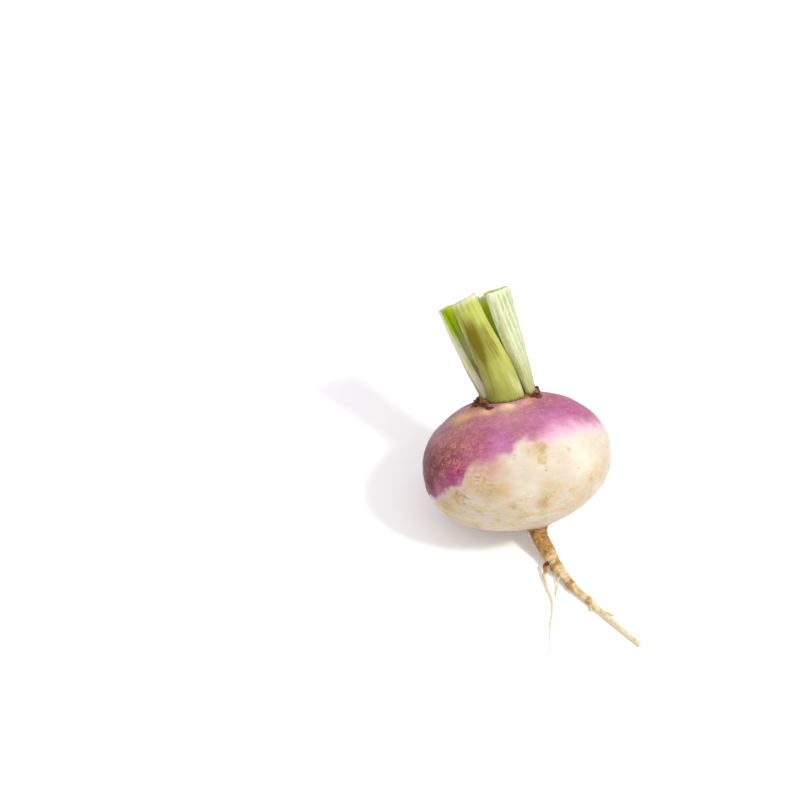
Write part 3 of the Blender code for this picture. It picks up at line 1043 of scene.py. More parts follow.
    # Brown stains of the cream, russet netting, and the hollows of old leaves round the crown, their dark brown
    # at the front left partly painted shade
    stains: tuple[Mark, ...] = (
        Mark(34.2, 13.4, 12.0, 3.8, 0.9), Mark(36.8, 13.8, 7.6, 2.2, 0.9), Mark(30.0, 24.8, 8.8, 1.4, 1.6),
        Mark(37.3, 4.4, 11.8, 1.2, 0.9), Mark(38.6, -1.2, 10.0, 1.4, 0.8), Mark(37.0, 12.2, -9.2, 3.8, 1.0),
        Mark(38.0, 14.0, -3.6, 2.0, 0.5), Mark(40.2, -7.4, -1.0, 3.6, 0.9), Mark(38.4, -10.4, 4.4, 1.8, 1.2),
        Mark(39.0, -1.0, -9.0, 3.0, 0.8), Mark(35.5, 1.1, -14.5, 2.4, 0.8), Mark(24.0, 31.8, -6.0, 3.8, 0.9),
        Mark(27.0, -28.5, -7.5, 5.0, 0.8), Mark(34.0, -22.0, -2.6, 3.6, 0.8), Mark(35.0, -17.0, 1.8, 3.6, 0.6),
        Mark(36.2, 4.0, 11.2, 1.4, 0.6), Mark(37.1, 14.2, 7.3, 1.1, 1.6), Mark(34.8, 15.0, 11.0, 0.9, 1.4),
        Mark(-20.0, 30.0, -6.0, 7.0, 0.6), Mark(-34.0, -12.0, -4.0, 8.0, 0.6), Mark(10.0, 4.0, -26.0, 9.0, 0.9),
    )
    russet: tuple[Mark, ...] = (
        Mark(22.0, -23.0, 17.0, 9.0, 1.0), Mark(13.0, -20.0, 22.5, 8.0, 1.0), Mark(28.0, -23.5, 9.0, 5.6, 0.9),
        Mark(31.0, -14.0, 16.0, 8.0, 0.7), Mark(20.0, -32.0, 8.0, 6.0, 0.3), Mark(37.6, -13.0, 4.6, 3.4, 0.9),
        Mark(34.0, -20.6, -2.6, 4.0, 1.0), Mark(38.6, -8.0, -0.4, 3.4, 0.6), Mark(22.0, -5.0, 23.0, 7.0, 0.45),
        Mark(15.0, 3.0, 25.0, 6.0, 0.6), Mark(8.0, 16.0, 25.0, 4.0, 0.5), Mark(-8.0, -33.0, 10.0, 12.0, 0.7),
        Mark(-26.0, 8.0, 18.0, 12.0, 0.6),
    )
    # The first four, at the front left, also carry painted shade of the crown's hollow
    scars: tuple[Mark, ...] = (
        Mark(2.2, -12.0, 26.8, 2.6, 1.4), Mark(6.2, -10.4, 26.9, 2.6, 1.45), Mark(9.4, -8.0, 26.8, 2.5, 1.45),
        Mark(11.8, -5.0, 26.7, 1.9, 1.3), Mark(5.2, 12.7, 26.5, 2.0, 1.6), Mark(2.0, 13.7, 26.4, 2.0, 1.3),
        Mark(-3.0, -13.6, 26.6, 2.2, 0.8), Mark(-9.0, 12.0, 27.0, 2.6, 0.6), Mark(-12.0, -8.0, 27.0, 2.6, 0.6),
    )
    mark_waver: float = 0.0020

    def plain(self, azimuth: np.ndarray, radius: np.ndarray, height: np.ndarray) -> np.ndarray:
        """Points of the plain bulb, swelled into lobes and shifted to the front about its equator.

        Args:
            azimuth: each point's turn from the front to the right.
            radius: its distance from the axis before the lobes.
            height: its height over the bulb's middle.

        Returns:
            The points in the bulb's frame.
        """
        swelling = sum(size * np.cos(count * azimuth + turn) for count, size, turn in self.lobes)
        out = radius * (1 + swelling * radius / self.radius)
        shift = self.equator_shift * (1 - (height / self.half_height) ** 2)
        parts = np.broadcast_arrays(out * np.cos(azimuth) + shift, out * np.sin(azimuth), height)
        return np.stack(parts, axis=-1)

    def height_at(self, radius: np.ndarray) -> np.ndarray:
        """The height of the shoulder over the bulb's middle at this distance from the axis."""
        n = self.squareness
        return self.half_height * (1 - (radius / self.radius) ** n) ** (1 / n)

    def crown(self, azimuth: np.ndarray, radius: np.ndarray) -> np.ndarray:
        """Points of the crown: the stem disc, then a groove and a lumpy collar down to the shoulder.

        Args:
            azimuth: each point's turn from the front to the right.
            radius: its distance from the axis.

        Returns:
            The points in the bulb's frame.
        """
        turned = radius * np.cos(azimuth)
        tipped = turned * math.cos(self.disc_tip), radius * np.sin(azimuth), -turned * math.sin(self.disc_tip)
        disc = np.stack(tipped, axis=-1) + np.array(self.disc_middle)
        away = smooth(radius, self.disc_radius, self.shoulder_radius)[..., None]
        points = disc * (1 - away) + self.plain(azimuth, radius, self.height_at(radius)) * away
        lump = 0.65 + 0.35 * np.cos(self.collar_lumps * azimuth + np.sin(2 * azimuth))
        collar = np.exp(-(((radius - self.collar_radius) / self.collar_width) ** 2))
        points[..., 2] += self.collar_height * lump * collar
        groove = np.exp(-(((radius - self.groove_radius) / self.groove_width) ** 2))
        points[..., 2] -= self.groove_depth * np.where(radius > self.disc_radius, groove, 0.0)
        return points

    def outside(self, points: np.ndarray) -> np.ndarray:
        """Roughly how far some points are outside the plain bulb.

        Args:
            points: points of the bulb's frame.

        Returns:
            A distance in metres for each, below 0 inside.
        """
        n = self.squareness
        flat = np.linalg.norm(points[..., :2], axis=-1) / self.radius
        return ((flat**n + np.abs(points[..., 2] / self.half_height) ** n) ** (1 / n) - 1) * self.mean_radius

    def grid(self) -> tuple[np.ndarray, np.ndarray, np.ndarray]:
        """The plain rings from the crown to the base.

        Returns:
            The points in the bulb's frame, their azimuths, and their plain distances from the axis.
        """
        azimuth = np.linspace(0, 2 * math.pi, self.segments, endpoint=False)
        crown_radii = np.linspace(0.0004, self.crown_reach, self.crown_rings)
        start = math.asin((self.crown_reach / self.radius) ** (self.squareness / 2))
        turn = start + (math.pi - start) * np.arange(1, self.body_rings) / self.body_rings
        radii = self.radius * np.sin(turn) ** (2 / self.squareness)
        heights = np.copysign(np.abs(np.cos(turn)) ** (2 / self.squareness), np.cos(turn)) * self.half_height
        top = self.crown(*np.broadcast_arrays(azimuth[None, :], crown_radii[:, None]))
        low = self.plain(*np.broadcast_arrays(azimuth[None, :], radii[:, None], heights[:, None]))
        points = np.concatenate([top, low])
        spread = np.concatenate([crown_radii, radii])[:, None]
        return points, np.broadcast_to(azimuth, points.shape[:2]), np.broadcast_to(spread, points.shape[:2])

    def relief(
        self, points: np.ndarray, azimuth: np.ndarray, spread: np.ndarray, cork: np.ndarray
    ) -> np.ndarray:
        """How far the living surface stands off the plain one.

        Args:
            points: the plain points in the bulb's frame.
            azimuth: their turns from the front to the right.
            spread: their plain distances from the axis.
            cork: how corky each is, 0 to 1.

        Returns:
            A height in metres for each point.
        """
        flat = points.reshape(-1, 3)
        shape = points.shape[:2]
        height = points[..., 2]
        high = height > 0
        on_disc = 1 - smooth(spread, self.disc_radius * 0.9, self.disc_radius * 1.1) * high - ~high
        lumps = self.lumps.over(flat).reshape(shape)
        dents = self.dents.over(flat).reshape(shape)
        flat_turn = np.cos(azimuth) * self.ring_radius, np.sin(azimuth) * self.ring_radius
        around = np.stack([*flat_turn, height], axis=-1).reshape(-1, 3)
        ring_height = self.ring_height + self.low_ring_height * smooth(-height, 0.0, 0.02)
        rings = self.rings.over(around).reshape(shape) * ring_height
        crust = self.crust.over(flat).reshape(shape) * np.clip(cork, 0, 1)
        depth = self.scar_depth + self.scar_tear * self.torn.over(flat).reshape(shape)
        hollow = overlay(self.scars, flat).reshape(shape) * depth
        return (lumps + dents + rings) * (1 - self.disc_calm * on_disc) + crust - hollow

    def by_the_root(self, points: np.ndarray) -> tuple[np.ndarray, np.ndarray, np.ndarray]:
        """Where some points are by the tap root's first stretch.

        Args:
            points: points of the bulb's frame.

        Returns:
            How far along the root each is, how far from its middle line, and the way that the root heads.
        """
        inner, outer = self.axis.to_bulb(np.array([self.root_foot, self.root_ahead]))
        ahead = unit(outer - inner)
        along = (points - inner) @ ahead
        return along, np.linalg.norm(points - inner - along[..., None] * ahead, axis=-1), ahead

    def base_pull(self, points: np.ndarray) -> np.ndarray:
        """The base drawn out towards the tap root, as a move of each point of the bulb's frame."""
        along, away, ahead = self.by_the_root(points)
        return (self.swell * np.exp(-((away / self.swell_reach) ** 2)) * (along > 0))[..., None] * ahead

    def build(self, material: bpy.types.Material) -> bpy.types.Object:
        """Builds and dresses the bulb.

        Args:
            material: the skin's material.

        Returns:
            The bulb.
        """
        points, azimuth, spread = self.grid()
        degrees = np.degrees((azimuth + math.pi) % (2 * math.pi) - math.pi)
        heights = points[..., 2] / MM
        purple = heights - np.interp(degrees, *zip(*self.purple_edge), period=360)
        reach = np.interp(degrees, *zip(*self.cork_reach), period=360)
        cork = (1 - smooth(spread / MM, reach - 3.5, reach + 1.5)) * (heights > 0)

        normals = unit(np.cross(np.gradient(points, axis=1), np.gradient(points, axis=0)))
        normals[:, 0], normals[:, -1] = normals[:, 1], normals[:, -2]
        if np.einsum("ijk,ijk->", normals, points) < 0:
            normals = -normals
        points = points + self.base_pull(points)
        living = points + normals * self.relief(points, azimuth, spread, cork)[..., None]
        row = self.axis.to_row(living)
        row[..., 2] = np.maximum(row[..., 2], 0.0)

        mesh = closed_mesh("turnip_bulb", [row])
        flat = np.concatenate([living.reshape(-1, 3), [living[0].mean(axis=0)], [living[-1].mean(axis=0)]])
        around = np.stack([np.cos(azimuth), np.sin(azimuth), heights / 40], axis=-1)
        waver = np.stack([rough(flat, 0.006, 3, 60 + axis) for axis in range(3)], axis=-1)
        wavered = flat + self.mark_waver * waver
        turned = np.degrees(np.arctan2(flat[:, 1], flat[:, 0]))
        ends = around[:1, :1].reshape(-1, 3), around[-1:, :1].reshape(-1, 3)
        zero = np.zeros(len(flat))
        paint(
            mesh,
            purple=ring_values(purple),
            softness=ring_values(np.interp(degrees, *zip(*self.edge_softness), period=360)),
            cork=ring_values(cork),
            low=smooth(-flat[:, 2] / MM, 0.0, 8.0),
            blush=smooth(turned, 4, 36),
            lilac=smooth(-turned, 26, 36) * 0.7,
            purple_tone=wash_over(self.purple_ground, self.purple_washes, wavered),
            pale_tone=wash_over(self.pale_ground, self.pale_washes, wavered),
            stain=overlay(self.stains, wavered),
            russet=overlay(self.russet, wavered),
            scar=overlay(self.scars, wavered),
            around=np.concatenate([around.reshape(-1, 3), *ends]),
            rooty=self.root_tone(flat),
            age=zero + 0.45,
            crease=zero,
        )
        LOG.info("bulb: %d points in %d rings", len(flat), len(row))
        return hand_over(new_piece("turnip_bulb", mesh, material), "bulb_and_tap_root")

    def root_tone(self, points: np.ndarray) -> np.ndarray:
        """How far the root's brown has crept over the bulb's base, 0 to 1."""
        along, away, _ = self.by_the_root(points)
        return (1 - smooth(away, self.bark_start, self.bark_end)) * (along > 0) * 0.9


def paint_bark(mesh: bpy.types.Mesh, **own: np.ndarray) -> None:
    """Stores what the skin's material reads on a root, where bark covers the skin.

    Args:
        mesh: the root's mesh.
        own: the values that differ from those of plain bark.
    """
    count = len(mesh.vertices)
    zero, white = np.zeros(count), np.ones((count, 3))
    plain = dict.fromkeys(("cork", "low", "blush", "lilac", "stain", "russet", "scar", "crease"), zero)
    plain |= {"purple": zero - 30, "softness": zero + 1, "rooty": zero + 1}
    plain |= {"around": white, "purple_tone": white, "pale_tone": white}
    paint(mesh, **(plain | own))


@dataclass
class TapRoot:
    """The tap root: it leaves the bulb in a flare, bends, and lies along the table to a broken tip."""

    bulb: Bulb
    path: tuple[tuple[float, float, float], ...] = (
        (0.0098, -0.0190, 0.0165), (0.0118, -0.0265, 0.0125), (0.0140, -0.0335, 0.0076),
        (0.0166, -0.0384, 0.0052), (0.0188, -0.0430, 0.0039), (0.0213, -0.0478, 0.0030),
        (0.0244, -0.0530, 0.0025), (0.0280, -0.0584, 0.0021), (0.0328, -0.0639, 0.00175),
        (0.0376, -0.0701, 0.00130), (0.0432, -0.0771, 0.00135), (0.0488, -0.0836, 0.00098),
        (0.0523, -0.0879, 0.00100),
    )
    radii_mm: tuple[float, ...] = (5.2, 4.2, 3.4, 3.1, 2.8, 2.35, 1.95, 1.7, 1.45, 1.25, 1.12, 1.0, 0.95)
    # How pale the bark is at some shares of its length, 0 to 1
    ages: tuple[tuple[float, float], ...] = (
        (0.0, 0.37), (0.20, 0.40), (0.28, 0.50), (0.325, 0.74), (0.36, 0.62), (0.385, 0.32), (0.43, 0.78),
        (0.50, 0.84), (0.54, 0.44), (0.58, 0.82), (0.65, 0.74), (0.667, 0.54), (0.71, 0.90), (1.0, 0.94),
    )
    knots: tuple[float, ...] = (0.385, 0.54, 0.667)
    sides: int = 72
    steps: int = 420
    flare: float = 0.0021
    flare_reach: float = 0.0012
    wrinkles: Unevenness = Unevenness(0.0030, 4, 5)
    lumps: Unevenness = Unevenness(0.0026, 3, 6)
    # How much of the radius the wrinkles, the lumps and the knots add, and a knot's share of the length
    wrinkle_share: float = 0.085
    lump_share: float = 0.10
    knot_share: float = 0.16
    knot_length: float = 0.009
    # The radius of the plain tube that the unevenness is looked up on
    probe_radius: float = 0.0022
    # Where the root narrows to its broken tip, and by how much
    tip_start: float = 0.988
    tip_narrowing: float = 0.75
    bark: Colour = tint(214, 188, 148)

    def build(self, material: bpy.types.Material) -> bpy.types.Object:
        """Builds and dresses the tap root.

        Args:
            material: the skin's material.

        Returns:
            The tap root.
        """
        shares = np.linspace(0, 1, self.steps)
        path = follow(np.array(self.path), shares)
        stations = np.linspace(0, 1, len(self.path))
        radii = np.interp(shares, stations, self.radii_mm) * MM
        length = np.concatenate([[0.0], np.cumsum(np.linalg.norm(np.diff(path, axis=0), axis=1))])
        turn = np.linspace(0, 2 * math.pi, self.sides, endpoint=False)
        far, near = np.meshgrid(length, turn, indexing="ij")
        knot = sum(np.exp(-(((shares - at) / self.knot_length) ** 2)) for at in self.knots)[:, None]
        flat_turn = np.cos(near) * self.probe_radius, np.sin(near) * self.probe_radius
        probe = np.stack([*flat_turn, far], axis=-1).reshape(-1, 3)
        wrinkle = self.wrinkles.over(probe * (1.0, 1.0, 2.6)).reshape(far.shape)
        lumps = self.lumps.over(probe * (1.0, 1.0, 0.5)).reshape(far.shape)
        ridges = 0.04 * np.cos(3 * near + 2.2 + far * 60) + 0.02 * np.cos(7 * near - far * 110)
        swelling = self.wrinkle_share * wrinkle + self.lump_share * lumps + ridges
        swelling = swelling + self.knot_share * knot * np.cos(near - 1.0) ** 2
        grown = radii[:, None] * (1 + swelling)
        grown *= (1 - self.tip_narrowing * smooth(shares, self.tip_start, 1.0) ** 2)[:, None]
        rings = tube(path, grown, self.sides)
        gap = self.bulb.outside(self.bulb.axis.to_bulb(rings))
        grown += self.flare * np.exp(-((np.maximum(gap, 0.0) / self.flare_reach) ** 1.2))
        rings = tube(path, grown, self.sides)
        rings[..., 2] = np.maximum(rings[..., 2], 0.0)

        mesh = closed_mesh("tap_root", [rings])
        count = len(mesh.vertices)
        gap = self.bulb.outside(self.bulb.axis.to_bulb(rings))
        wander = shares[:, None] + 0.012 * np.cos(2 * near + 1.3) + 0.008 * lumps
        ages = np.interp(wander, *zip(*self.ages))
        fading = (1 - 0.5 * smooth(shares, 0.5, 0.8))[:, None]
        crease = smooth(-wrinkle, 0.10, 0.55) * smooth(gap, -0.001, 0.002) * fading
        around = np.stack([np.cos(near), np.sin(near), far / 0.004], axis=-1)
        paint_bark(
            mesh,
            low=np.ones(count),
            stain=np.full(count, 0.3),
            pale_tone=np.repeat([self.bark[:3]], count, axis=0),
            around=np.concatenate([around.reshape(-1, 3), np.zeros((2, 3))]),
            rooty=ring_values(smooth(gap, -0.0008, 0.0006)),
            age=ring_values(ages),
            crease=ring_values(crease + 0.5 * knot),
        )
        return hand_over(new_piece("tap_root", mesh, material), "bulb_and_tap_root")


@dataclass(frozen=True)
class SideRoot:
    """A thin root: its way along the table, and its radii and its bark's ages at both ends."""

    points: tuple[tuple[float, float, float], ...]
    first_mm: float
    last_mm: float
    first_age: float = 0.5
    last_age: float = 0.9
    seed: int = 0
    # How far its way wanders, and by what share its radius does
    wander: float = 0.00035
    radius_wander: float = 0.18

    def rings(self, steps: int, sides: int) -> np.ndarray:
        """Its rings, with a way and a radius that wander a little.

        Args:
            steps: how many rings it has.
            sides: how many points a ring has.

        Returns:
            An array of shape (steps, sides, 3).
        """
        shares = np.linspace(0, 1, steps)
        path = follow(np.array(self.points), shares)
        wander = rough(path, 0.004, 3, 20 + self.seed)
        sideways = np.stack([wander, -wander, 0 * wander], axis=-1)
        path = path + self.wander * smooth(shares, 0.05, 0.3)[:, None] * sideways
        radii = (self.first_mm + (self.last_mm - self.first_mm) * shares**0.7) * MM
        radii = radii * (1 + self.radius_wander * rough(path, 0.0016, 3, 40 + self.seed))
        path[:, 2] = np.maximum(path[:, 2], radii)
        return tube(path, radii, sides)


@dataclass
class SideRoots:
    """The side roots and long hairs that the photo shows, each followed on its own."""

    branches: tuple[SideRoot, ...] = (
        SideRoot(
            (
                (0.0190, -0.0440, 0.0042), (0.0160, -0.0458, 0.0040), (0.0156, -0.0480, 0.0028),
                (0.0152, -0.0508, 0.0018), (0.0161, -0.0557, 0.0011), (0.0173, -0.0605, 0.0008),
                (0.0180, -0.0659, 0.0007), (0.0171, -0.0719, 0.0005), (0.0163, -0.0779, 0.0004),
            ),
            first_mm=1.05, last_mm=0.26, first_age=0.02, last_age=0.95, seed=1,
        ),
        SideRoot(
            (
                (0.0240, -0.0510, 0.0028), (0.0213, -0.0518, 0.0026), (0.0208, -0.0535, 0.0018),
                (0.0201, -0.0571, 0.0009), (0.0196, -0.0605, 0.0005),
            ),
            first_mm=0.65, last_mm=0.24, first_age=0.42, last_age=0.85, seed=2,
        ),
        SideRoot(
            ((0.0328, -0.0635, 0.0018), (0.0334, -0.0657, 0.0016), (0.0335, -0.0689, 0.0010)),
            first_mm=1.05, last_mm=0.5, first_age=0.6, last_age=0.75, seed=3,
        ),
        SideRoot(
            ((0.0376, -0.0698, 0.0014), (0.0400, -0.0706, 0.0015), (0.0425, -0.0714, 0.0009)),
            first_mm=0.8, last_mm=0.3, first_age=0.5, last_age=0.8, seed=4,
        ),
    )
    hairs: tuple[SideRoot, ...] = (
        SideRoot(
            (
                (0.0335, -0.0625, 0.0024), (0.0386, -0.0612, 0.0015), (0.0438, -0.0560, 0.0008),
                (0.0483, -0.0492, 0.0005), (0.0511, -0.0408, 0.0005), (0.0524, -0.0320, 0.0008),
                (0.0522, -0.0232, 0.0012),
            ),
            first_mm=0.16, last_mm=0.08, seed=5,
        ),
        SideRoot(
            (
                (0.0163, -0.0775, 0.0004), (0.0157, -0.0850, 0.0003), (0.0153, -0.0915, 0.0003),
                (0.0130, -0.0975, 0.0003),
            ),
            first_mm=0.20, last_mm=0.09, seed=6,
        ),
        SideRoot(
            ((0.0422, -0.0713, 0.0009), (0.0460, -0.0722, 0.0006), (0.0495, -0.0714, 0.0004)),
            first_mm=0.14, last_mm=0.06, seed=7,
        ),
        SideRoot(
            ((0.0235, -0.0470, 0.0042), (0.0262, -0.0462, 0.0036), (0.0292, -0.0468, 0.0026)),
            first_mm=0.17, last_mm=0.08, seed=8,
        ),
        SideRoot(
            ((0.0222, -0.0462, 0.0048), (0.0240, -0.0440, 0.0046), (0.0248, -0.0420, 0.0036)),
            first_mm=0.14, last_mm=0.06, seed=9,
        ),
        SideRoot(
            ((0.0232, -0.0545, 0.0020), (0.0252, -0.0600, 0.0010), (0.0276, -0.0655, 0.0005)),
            first_mm=0.15, last_mm=0.07, seed=10,
        ),
        SideRoot(
            ((0.0285, -0.0600, 0.0018), (0.0282, -0.0640, 0.0009), (0.0290, -0.0672, 0.0004)),
            first_mm=0.14, last_mm=0.07, seed=11,
        ),
    )
    branch_steps: int = 90
    branch_sides: int = 14
    hair_steps: int = 70
    hair_sides: int = 7

    def build(self, bark: bpy.types.Material, thread: bpy.types.Material) -> None:
        """Builds and dresses the side roots and the long hairs.

        Args:
            bark: the side roots' material.
            thread: the long hairs' material.
        """
        shells = [branch.rings(self.branch_steps, self.branch_sides) for branch in self.branches]
        mesh = closed_mesh("side_roots", shells)
        ages = []
        for branch, rings in zip(self.branches, shells):
            shares = smooth(np.linspace(0, 1, len(rings)), 0.10, 0.55)
            tone = branch.first_age + (branch.last_age - branch.first_age) * shares
            ages.append(ring_values(np.repeat(tone[:, None], rings.shape[1], axis=1)))
        paint_bark(mesh, age=np.concatenate(ages))
        hand_over(new_piece("side_roots", mesh, bark))
        hairs = [hair.rings(self.hair_steps, self.hair_sides) for hair in self.hairs]
        hand_over(new_piece("long_root_hairs", closed_mesh("long_root_hairs", hairs), thread))


@dataclass(frozen=True)
class CutDetail:
    """A small shape that repeats round a stalk's cut: after which of its rings, how many, and how it looks."""

    name: str
    ring: int
    count: int
    length: float
    stations: Stations
    sides: int
    finish: PlainFinish
    strewing: Strewing

    def set_round(self, stalk: str, rings: np.ndarray, lean: np.ndarray, seed: int) -> None:
        """Sets the shape round a stalk's cut and hands the piece over.

        Args:
            stalk: the stalk's name.
            rings: the stalk's rings from its cut edge inwards, in the row frame.
            lean: the way that the shape stands.
            seed: the stalk's seed.
        """
        points = rings[self.ring][:: rings.shape[1] // self.count]
        ground = bpy.data.meshes.new(self.name)
        ground.from_pydata(points.tolist(), [], [])
        outward = unit(points - points.mean(axis=0))
        paint(ground, facing=np.repeat(lean[None], len(points), axis=0), heading=outward)
        shape = loft(self.name, self.length, self.stations, self.sides)
        strewing = replace(self.strewing, seed=self.strewing.seed + seed)
        piece = strewing.run(ground, shape, self.finish.make())
        piece.name = f"{stalk}_{self.name}"
        hand_over(piece)


Spots = tuple[tuple[float, float, float, float, float], ...]


@dataclass
class Stalk:
    """One cut leaf stalk. Turns are degrees from the bulb's front to its right, and lengths are mm."""

    node: str
    finish: StalkFinish
    foot_turn: float
    cut_turn: float
    foot_out: float
    cut_out: float
    foot_width: float
    middle_width: float
    cut_width: float
    foot_thick: float
    cut_thick: float
    channel: float
    reach: float
    head: float
    slant: float
    seed: int
    inner_start: float = 0.12
    ribs: int = 5
    rib_height: float = 0.22
    # Marks on its back: how far across and along, how wide and long, and how strong
    stains: Spots = ()
    rust: Spots = ()
    pale: Spots = ()
    bundle: tuple[float, float, float] = (-0.8, -7.3, 42.8)
    foot_wrap: float = 0.95
    cut_wrap: float = 0.35
    foot_rise: float = 0.3
    sink: float = 0.9
    # How far the pulls of its curve reach, as a share of the bundle's length
    pull: float = 0.33
    waver: float = 0.16
    tear: float = 0.22
    # Rings of the cut face: what share of its width, and how far along the bundle
    face: tuple[tuple[float, float], ...] = (
        (0.97, 0.05), (0.93, -0.10), (0.86, -0.22), (0.70, -0.26), (0.50, -0.30), (0.30, -0.32), (0.12, -0.33),
    )
    details: tuple[CutDetail, ...] = (
        CutDetail(
            "strand_ends", ring=2, count=14, length=0.00022,
            stations=[(-0.5, 0.0002, 0.0002, 0.0), (0.6, 0.00018, 0.00018, 0.0), (1.0, 0.00008, 0.00008, 0.0)],
            sides=8,
            finish=PlainFinish("strand_end", tint(214, 222, 160), tint(190, 204, 120)),
            strewing=Strewing("ends", Ground.POINTS, 0, sway=0.2),
        ),
        CutDetail(
            "rim_fibres", ring=0, count=42, length=0.0007,
            stations=[
                (-0.6, 0.00008, 0.00012, 0.0), (0.3, 0.00007, 0.0001, 0.00003),
                (1.0, 0.00002, 0.00003, 0.00015),
            ],
            sides=5,
            finish=PlainFinish("torn_fibre", tint(236, 236, 206), tint(206, 214, 150)),
            strewing=Strewing("fibres", Ground.POINTS, 1, least=0.3, most=1.0, sway=0.5),
        ),
    )
    segments: int = 168
    steps: int = 100

    def outline(self, share: float) -> tuple[np.ndarray, np.ndarray, np.ndarray, np.ndarray]:
        """The cross-section at one place along the stalk.

        Args:
            share: how far along it is, 0 at the foot and 1 at the cut.

        Returns:
            How far out and how far to the side each point is, how far across the stalk, and its rib's height.
        """
        angle = np.linspace(0, 2 * math.pi, self.segments, endpoint=False)
        across = np.sin(angle)
        width = self.foot_width * (1 - share) * (1 - 2 * share)
        width += self.middle_width * 4 * share * (1 - share) + self.cut_width * share * (2 * share - 1)
        thick = self.foot_thick + (self.cut_thick - self.foot_thick) * share
        hollow = self.channel * (0.35 + 0.65 * share)
        bend = (self.foot_out + (self.cut_out - self.foot_out) * share) / (
            self.foot_wrap + (self.cut_wrap - self.foot_wrap) * share
        )
        side = 0.5 * width * np.copysign(np.abs(across) ** 0.85, across)
        back = np.cos(angle) >= 0
        lift = np.clip(np.cos(angle), 0, None)
        strand = np.cos(self.ribs * math.pi * across + 0.4 * math.sin(self.seed))
        fine = np.cos(13 * math.pi * across + self.seed)
        rib = (self.rib_height * strand + 0.03 * fine) * lift**0.5
        out = np.where(
            back,
            0.60 * thick * lift**0.8 + rib,
            -0.40 * thick * np.abs(np.cos(angle)) ** 0.5 + hollow * (1 - across**2) ** 1.5 + 0.05 * fine,
        )
        return (bend + out) * np.cos(side / bend) - bend, (bend + out) * np.sin(side / bend), across, rib

    def rings(self, bulb: Bulb) -> tuple[np.ndarray, dict[str, np.ndarray]]:
        """Its rings, from the foot up and over the cut face.

        Args:
            bulb: the bulb that it stands on.

        Returns:
            The rings in the bulb's frame, and what its material reads at each point.
        """
        tip = bulb.disc_tip
        up = np.array([math.sin(tip), 0.0, math.cos(tip)])
        bundle = np.array(self.bundle)
        lean = unit(bundle)
        base = np.array(bulb.disc_middle) / MM + up * self.foot_rise
        foot_turn, cut_turn = math.radians(self.foot_turn), math.radians(self.cut_turn)

        def outward(ahead: np.ndarray, turn: float) -> np.ndarray:
            """The way out of the bundle's middle at this turn, square to the way it runs."""
            right = unit(np.cross(ahead, (1.0, 0.0, 0.0)))
            return np.cross(right, ahead) * math.cos(turn) + right * math.sin(turn)

        foot = base + self.foot_out * outward(up, foot_turn)
        cut = base + bundle * self.reach + self.cut_out * outward(lean, cut_turn)
        straight = unit(cut - foot)
        third = np.linalg.norm(bundle) * self.pull
        start_way = unit(up + (straight - up) * self.head)
        bends = np.array([foot, foot + start_way * third, cut - unit(lean + straight) * third, cut])
        names = ("across", "along", "rib", "inner", "margin", "cut", "stain", "rust", "pale")
        rows, fields = [], {name: [] for name in names}
        angle = np.linspace(0, 2 * math.pi, self.segments, endpoint=False)
        for t in np.linspace(0, 1, self.steps):
            weights = np.array([(1 - t) ** 3, 3 * t * (1 - t) ** 2, 3 * t**2 * (1 - t), t**3])
            early, late, between = 3 * (1 - t) ** 2, 3 * t**2, 6 * t * (1 - t)
            slopes = np.array([-early, early - between, between - late, late])
            middle, ahead = weights @ bends, unit(slopes @ bends)
            ahead = up + (ahead - up) * float(smooth(t, 0.0, 0.2))
            ahead = unit(ahead + (lean - ahead) * t**3)
            out = outward(ahead, foot_turn + (cut_turn - foot_turn) * t)
            sideways = np.cross(ahead, out)
            x, y, across, rib = self.outline(t)
            ring = middle + x[:, None] * out + y[:, None] * sideways - up * self.sink * (1 - t) ** 24
            rows.append(ring)
            fields["across"].append(across)
            fields["along"].append(np.full(self.segments, t))
            fields["rib"].append(0.5 + 0.5 * rib / self.rib_height)
            fields["inner"].append(smooth(-np.cos(angle), self.inner_start, self.inner_start + 0.18))
            fields["margin"].append(np.exp(-(((np.cos(angle) + self.inner_start) / 0.16) ** 2)))
            fields["cut"].append(np.zeros(self.segments))
            for name, marks in (("stain", self.stains), ("rust", self.rust), ("pale", self.pale)):
                spots = np.zeros(self.segments)
                for spot_across, spot_along, wide, long, strength in marks:
                    away = ((across - spot_across) / wide) ** 2 + ((t - spot_along) / long) ** 2
                    spots += strength * np.exp(-away)
                fields[name].append(np.clip(spots, 0, 1.2))
        fields = {name: np.array(values) for name, values in fields.items()}
        rows, fields = self.roughen(np.array(rows), fields, lean)
        return rows * MM, fields

